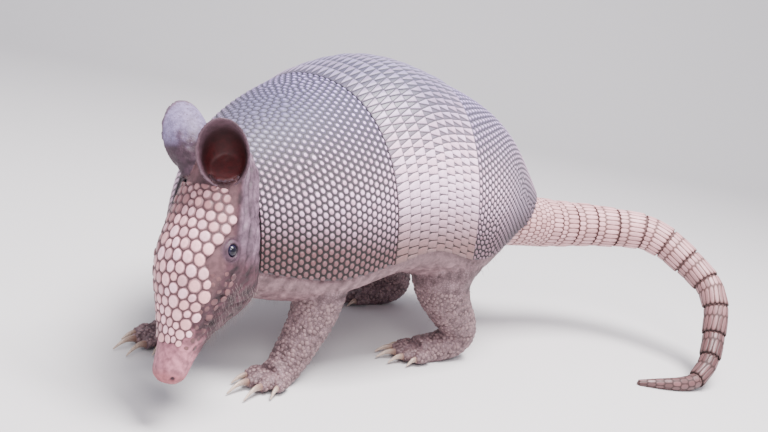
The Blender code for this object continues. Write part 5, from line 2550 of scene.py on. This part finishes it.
def wrinkle_group() -> bpy.types.NodeTree:
    """Cobbled skin: small rounded plates with creases, as a crease mask and a normal."""
    inputs = {"Place": ("Vector", None), "Size": ("Float", 0.002)}
    inputs |= {"Depth": ("Float", 0.0003), "Amount": ("Float", 1.0)}
    group = Shared("wrinkles", inputs, {"Crease": "Float", "Normal": "Vector"})
    scale = group.math("DIVIDE", 1.0, group.start["Size"])
    wide = group.math("MULTIPLY", scale, 0.6)
    waver = group.node("TexNoise", {"Vector": group.start["Place"], "Scale": wide})
    drift = group.node("VectorMath", {0: waver.outputs["Color"], "Scale": 0.0012}, operation="SCALE")
    moved = group.node("VectorMath", {0: group.start["Place"], 1: drift.outputs["Vector"]}, operation="ADD")
    cobbles = group.node(
        "TexVoronoi", {"Vector": moved.outputs["Vector"], "Scale": scale}, feature="DISTANCE_TO_EDGE"
    )
    rounded = ranged(group, cobbles.outputs["Distance"], 0.0, 0.35)
    height = group.math("MULTIPLY", rounded, group.start["Amount"])
    normal = group.node("Bump", {"Height": height, "Distance": group.start["Depth"], "Strength": 1.0})
    crease = group.math("SUBTRACT", 1.0, rounded)
    crease = group.math("MULTIPLY", crease, group.start["Amount"])
    return group.give(Crease=crease, Normal=normal.outputs["Normal"])


@dataclass(frozen=True)
class ScaleColours:
    """Colours of one kind of scale."""

    # groove: the dark skin between scales, made darker still as painted shade between them
    groove: Colour
    slope: Colour
    crown: Colour
    other: Colour
    dull: Colour
    deep: Colour
    rough: float = 0.42


@dataclass(frozen=True)
class ShellDrift:
    """How the shell's colour changes with height: on top a painted lavender sheen of the sky, which also
    sets how bright the top looks, and low on the flanks a browner, darker tone that is partly the shell's
    own colour and partly painted shade.
    """

    # top: painted sky sheen and top brightness; low: partly the shell's own colour, partly painted shade
    top: Colour = (0.63, 0.71, 1.06)
    low: Colour = (0.21, 0.135, 0.110)
    top_from: float = 0.138
    top_to: float = 0.195
    low_from: float = 0.130
    low_to: float = 0.092


def scale_finish(
    name: str, colours: ScaleColours, grit: bpy.types.NodeTree, drift: ShellDrift | None = None
) -> bpy.types.Material:
    """A finish for raised scales, coloured by their relief, paleness and own tone; the grooves are dark
    partly as the skin's own colour between scales and partly as painted shade.

    Args:
        name: The material's name.
        colours: Its colours.
        grit: The shared grain.
        drift: The painted sky sheen on top and the partly painted shade low down, if there is any.

    Returns:
        The material.
    """
    finish = Finish(name, colours.rough)
    relief, pale, tone, broad = (finish.attribute(label) for label in ("relief", "pale", "tone", "broad"))
    grain = finish.shared(grit, Place=finish.place(), Size=0.0018, Depth=0.00014)
    crown = mixed(finish, tone, colours.crown, colours.other)
    crown = mixed(finish, pale, colours.dull, crown)
    crown = mixed(finish, finish.math("MULTIPLY", grain.outputs["Mottle"], 0.22), crown, colours.slope)
    raised = finish.math("ADD", relief, finish.math("MULTIPLY", broad, 0.30))
    slope = mixed(finish, pale, colours.deep, colours.slope)
    # painted shade: the grooves and low edges of each scale take the dark groove colour, partly the skin's
    # own colour there
    slope = mixed(finish, ranged(finish, relief, 0.02, 0.40), colours.groove, slope)
    colour = mixed(finish, ranged(finish, raised, 0.66, 1.0), slope, crown)
    # painted light by height: the sky's lavender sheen and brightness on top, and low down a darker tone
    # that is partly the shell's own colour and partly painted shade
    if drift is not None:
        height = finish.node("SeparateXYZ", {0: finish.place()}).outputs["Z"]
        top = ranged(finish, height, drift.top_from, drift.top_to)
        low = ranged(finish, height, drift.low_from, drift.low_to)
        colour = mixed(finish, top, colour, tinted(finish, colour, drift.top))
        colour = mixed(finish, low, colour, tinted(finish, colour, drift.low))
    rough = ranged(finish, relief, 0.0, 1.0, min(colours.rough + 0.3, 1.0), colours.rough)
    return finish.use(Base_Color=colour, Roughness=rough, Normal=grain.outputs["Normal"])


class Looks:
    """Every finish of the model."""

    def __init__(self) -> None:
        """Makes the shared groups and the materials."""
        grit, wrinkles = grit_group(), wrinkle_group()
        # painted light by height for each shell: sky sheen and brightness on top, partly painted shade low
        # down; the tail's only darkens its low parts, partly as painted shade
        drift = ShellDrift()
        rump_sheen_and_shade = ShellDrift((0.63, 0.71, 1.00), (0.26, 0.22, 0.21), 0.138, 0.195, 0.140, 0.096)
        band_sheen_and_shade = ShellDrift((0.27, 0.32, 0.43), (0.25, 0.20, 0.155), 0.150, 0.205, 0.150, 0.094)
        tail_sheen_and_shade = ShellDrift((1.0, 1.0, 1.0), (0.34, 0.29, 0.29), 1.0, 2.0, 0.096, 0.030)
        shell = ScaleColours(
            groove=(0.030, 0.022, 0.027), slope=(0.105, 0.076, 0.098), crown=(0.84, 0.56, 0.78),
            other=(0.70, 0.42, 0.56), dull=(0.25, 0.215, 0.33), deep=(0.115, 0.100, 0.140),
        )
        rump = ScaleColours(
            groove=(0.034, 0.025, 0.031), slope=(0.150, 0.110, 0.140), crown=(0.84, 0.57, 0.78),
            other=(0.70, 0.43, 0.57), dull=(0.26, 0.205, 0.28), deep=(0.115, 0.096, 0.125),
        )
        band = ScaleColours(
            groove=(0.060, 0.044, 0.054), slope=(0.27, 0.195, 0.240), crown=(0.92, 0.66, 0.86),
            other=(0.84, 0.54, 0.68), dull=(0.18, 0.142, 0.182), deep=(0.11, 0.085, 0.108),
        )
        head = ScaleColours(
            groove=(0.062, 0.027, 0.031), slope=(0.31, 0.150, 0.162), crown=(1.0, 0.60, 0.69),
            other=(0.86, 0.42, 0.42), dull=(0.215, 0.088, 0.092), deep=(0.10, 0.042, 0.047), rough=0.40,
        )
        tail = ScaleColours(
            groove=(0.095, 0.046, 0.042), slope=(0.33, 0.168, 0.166), crown=(0.76, 0.43, 0.45),
            other=(0.60, 0.315, 0.32), dull=(0.17, 0.080, 0.076), deep=(0.10, 0.046, 0.043),
        )
        self.shell = scale_finish("shell_scales", shell, grit, drift)
        self.rump = scale_finish("rump_scales", rump, grit, rump_sheen_and_shade)
        self.band = scale_finish("band_scales", band, grit, band_sheen_and_shade)
        self.head_scale = scale_finish("head_scales", head, grit)
        self.tail_scale = scale_finish("tail_scales", tail, grit, tail_sheen_and_shade)
        self.under = self.speckled("under_plate", grit, (0.050, 0.036, 0.042), (0.085, 0.062, 0.072))
        self.leg_scale = self.speckled("leg_scales", grit, (0.135, 0.080, 0.084), (0.225, 0.140, 0.143))
        self.ear_wart = self.speckled("ear_warts", grit, (0.075, 0.042, 0.062), (0.15, 0.105, 0.165))
        self.cheek_scale = self.speckled("cheek_scales", grit, (0.070, 0.027, 0.032), (0.150, 0.062, 0.064))
        self.joint = self.joints(wrinkles)
        self.hide = self.hides(grit, wrinkles)
        self.claw = self.claws(grit)
        self.eye = self.eyes()
        self.bristle = Finish("bristles", 0.6, 0.3).use(Base_Color=(0.22, 0.165, 0.160, 1.0))

    def speckled(
        self, name: str, grit: bpy.types.NodeTree, dark: Colour, light: Colour
    ) -> bpy.types.Material:
        """A plain finish that varies from one spot to the next.

        Args:
            name: The material's name.
            grit: The shared grain.
            dark: Its darker colour.
            light: Its lighter colour.

        Returns:
            The material.
        """
        finish = Finish(name, 0.55)
        grain = finish.shared(grit, Place=finish.place(), Size=0.006, Depth=0.0001)
        return finish.use(Base_Color=mixed(finish, grain.outputs["Mottle"], dark, light))

    def joints(self, wrinkles: bpy.types.NodeTree) -> bpy.types.Material:
        """The bare skin between the tail's rings, with painted shade in its creases.

        Args:
            wrinkles: The shared wrinkles.

        Returns:
            The material.
        """
        finish = Finish("joint_skin", 0.7)
        folds = finish.shared(wrinkles, Place=finish.place(), Size=0.0014, Depth=0.0003)
        # painted shade: the creases of the skin between the tail's rings are darker
        colour = mixed(finish, folds.outputs["Crease"], (0.20, 0.105, 0.100), (0.085, 0.043, 0.041))
        return finish.use(Base_Color=colour, Normal=folds.outputs["Normal"])

    def hides(self, grit: bpy.types.NodeTree, wrinkles: bpy.types.NodeTree) -> bpy.types.Material:
        """The bare skin of head, neck, ears, belly and legs.

        Args:
            grit: The shared grain.
            wrinkles: The shared wrinkles.

        Returns:
            The material.
        """
        finish = Finish("hide", 0.62, 0.4)
        # the skin's colour attribute already carries painted shade in its creases and nostrils
        pigment = finish.node("Attribute", attribute_name="pigment").outputs["Color"]
        scaly = finish.attribute("scaly")
        folds = finish.shared(wrinkles, Place=finish.place(), Size=0.0016, Depth=0.00022, Amount=scaly)
        grain = finish.shared(grit, Place=finish.place(), Size=0.0030, Depth=0.0002)
        light = tinted(finish, pigment, (1.16, 1.14, 1.15))
        dark = tinted(finish, pigment, (0.80, 0.78, 0.78))
        colour = mixed(finish, grain.outputs["Mottle"], dark, light)
        # painted shade: the cobbled skin's creases are darkened
        painted_crease_shade = tinted(finish, colour, (0.50, 0.46, 0.46))
        colour = mixed(finish, folds.outputs["Crease"], colour, painted_crease_shade)
        return finish.use(Base_Color=colour, Normal=folds.outputs["Normal"])

    def claws(self, grit: bpy.types.NodeTree) -> bpy.types.Material:
        """Ivory claws, browner at the root.

        Args:
            grit: The shared grain.

        Returns:
            The material.
        """
        finish = Finish("claws", 0.32)
        grain = finish.shared(grit, Place=finish.place(), Size=0.0012, Depth=0.0001)
        along = ranged(finish, finish.attribute("along"), 0.1, 0.8)
        colour = mixed(finish, along, (0.22, 0.12, 0.095), (0.52, 0.40, 0.32))
        stain = finish.math("MULTIPLY", grain.outputs["Mottle"], 0.4)
        colour = mixed(finish, stain, colour, (0.16, 0.10, 0.08))
        return finish.use(Base_Color=colour, Normal=grain.outputs["Normal"])

    def eyes(self) -> bpy.types.Material:
        """The dark eye: near black, a little violet at its edge."""
        finish = Finish("eye", 0.10, 0.25)
        edge = ranged(finish, finish.attribute("front"), 0.93, 0.80)
        colour = mixed(finish, edge, (0.004, 0.0035, 0.008), (0.012, 0.009, 0.026))
        return finish.use(Base_Color=colour, Coat_Weight=0.25, Coat_Roughness=0.03)


# ---------------------------------------------------------------- studio
@dataclass(frozen=True)
class Lamp:
    """A soft square lamp: its place, what it is aimed at, its size, its power in watts and its tint."""

    name: str
    place: Colour
    aim: Colour
    size: float
    power: float
    tint: Colour

    def build(self) -> None:
        """Adds the lamp."""
        data = bpy.data.lights.new(self.name, "AREA")
        data.shape = "SQUARE"
        data.size = self.size
        data.energy = self.power
        data.color = self.tint
        lamp = host_of(data)
        heading = Vector(self.aim) - Vector(self.place)
        lamp.rotation_euler = heading.to_track_quat("-Z", "Y").to_euler()
        lamp.location = self.place


@dataclass(frozen=True)
class Studio:
    """The camera, the pale sweep and the lights."""

    stand: Colour = (0.47847, -0.54492, 0.27347)
    azimuth: float = math.radians(44.44)
    elevation: float = math.radians(13.527)
    roll: float = math.radians(11.189)
    lens: float = 48.095
    floor_colour: Colour = (0.62, 0.60, 0.60)
    sky: Colour = (0.86, 0.88, 1.0)
    sky_strength: float = 0.95
    sweep_front: float = -2.6
    sweep_reach: float = 1.15
    sweep_radius: float = 0.7
    sweep_height: float = 2.2
    sweep_half_width: float = 3.0
    overhead: Lamp = Lamp("overhead", (0.35, 0.00, 1.30), (0.0, 0.0, 0.10), 0.6, 62.0, (1.0, 0.97, 0.98))
    front: Lamp = Lamp("front", (0.85, -0.75, 0.95), (0.0, -0.05, 0.12), 0.5, 14.0, (1.0, 0.96, 0.97))

    def camera(self) -> None:
        """Places the camera."""
        data = bpy.data.cameras.new("camera")
        data.lens = self.lens
        data.sensor_width = 36.0
        camera = host_of(data)
        turn = Matrix.Rotation(self.azimuth, 3, "Z")
        turn = turn @ Matrix.Rotation(math.pi / 2.0 - self.elevation, 3, "X")
        turn = turn @ Matrix.Rotation(self.roll, 3, "Z")
        camera.matrix_world = Matrix.Translation(self.stand) @ turn.to_4x4()
        bpy.context.scene.camera = camera

    def sweep(self) -> None:
        """The floor, which rises into a backdrop far behind the model."""
        reach, radius, height = self.sweep_reach, self.sweep_radius, self.sweep_height
        angle = np.linspace(0.0, math.pi / 2.0, 25)
        profile = [(self.sweep_front, 0.0), (reach, 0.0)]
        profile += [(reach + radius * math.sin(a), radius * (1.0 - math.cos(a))) for a in angle[1:]]
        profile.append((reach + radius, height))
        back = np.array((-math.sin(self.azimuth), math.cos(self.azimuth), 0.0))
        side = np.array((math.cos(self.azimuth), math.sin(self.azimuth), 0.0))
        points, faces = [], []
        for run, rise in profile:
            for across in (-self.sweep_half_width, self.sweep_half_width):
                points.append(back * run + side * across + (0.0, 0.0, rise))
        for row in range(len(profile) - 1):
            a = 2 * row
            faces.append((a, a + 1, a + 3, a + 2))
        mesh = mesh_from("sweep", np.array(points), faces)
        mesh.shade_smooth()
        finish = Finish("sweep", 0.85, 0.2)
        mesh.materials.append(finish.use(Base_Color=(*self.floor_colour, 1.0)))
        host_of(mesh)

    def sky_light(self) -> None:
        """An even pale sky."""
        world = bpy.data.worlds.new("studio")
        world.use_nodes = True
        tree = world.node_tree
        tree.nodes.clear()
        ground = tree.nodes.new("ShaderNodeBackground")
        ground.inputs["Color"].default_value = (*self.sky, 1.0)
        ground.inputs["Strength"].default_value = self.sky_strength
        out = tree.nodes.new("ShaderNodeOutputWorld")
        tree.links.new(ground.outputs["Background"], out.inputs["Surface"])
        bpy.context.scene.world = world

    def build(self) -> None:
        """Sets the whole studio up."""
        self.camera()
        self.sweep()
        self.sky_light()
        self.overhead.build()
        self.front.build()


def main() -> None:
    """Builds every piece of the model and its studio."""
    logging.basicConfig(level=logging.INFO, format="%(name)s %(message)s")
    shell, head, tail = ShellForm(), HeadForm(), TailForm()
    look = Looks()
    scutes = scute_growth()
    Armour(shell).build(scutes, look)
    HeadShield(head).build(scutes, look)
    Tail(tail).build(scutes, look)
    skin = Skin(shell, head, (EarForm(Side.LEFT, head), EarForm(Side.RIGHT, head)), tail)
    pelt = skin.build(look)
    Coat(head).build(grain_growth(), bristle_growth(), pelt, look)
    Eyes(head).build(look)
    Claws(skin).build(look)
    Studio().build()


if __name__ == "__main__":
    main()
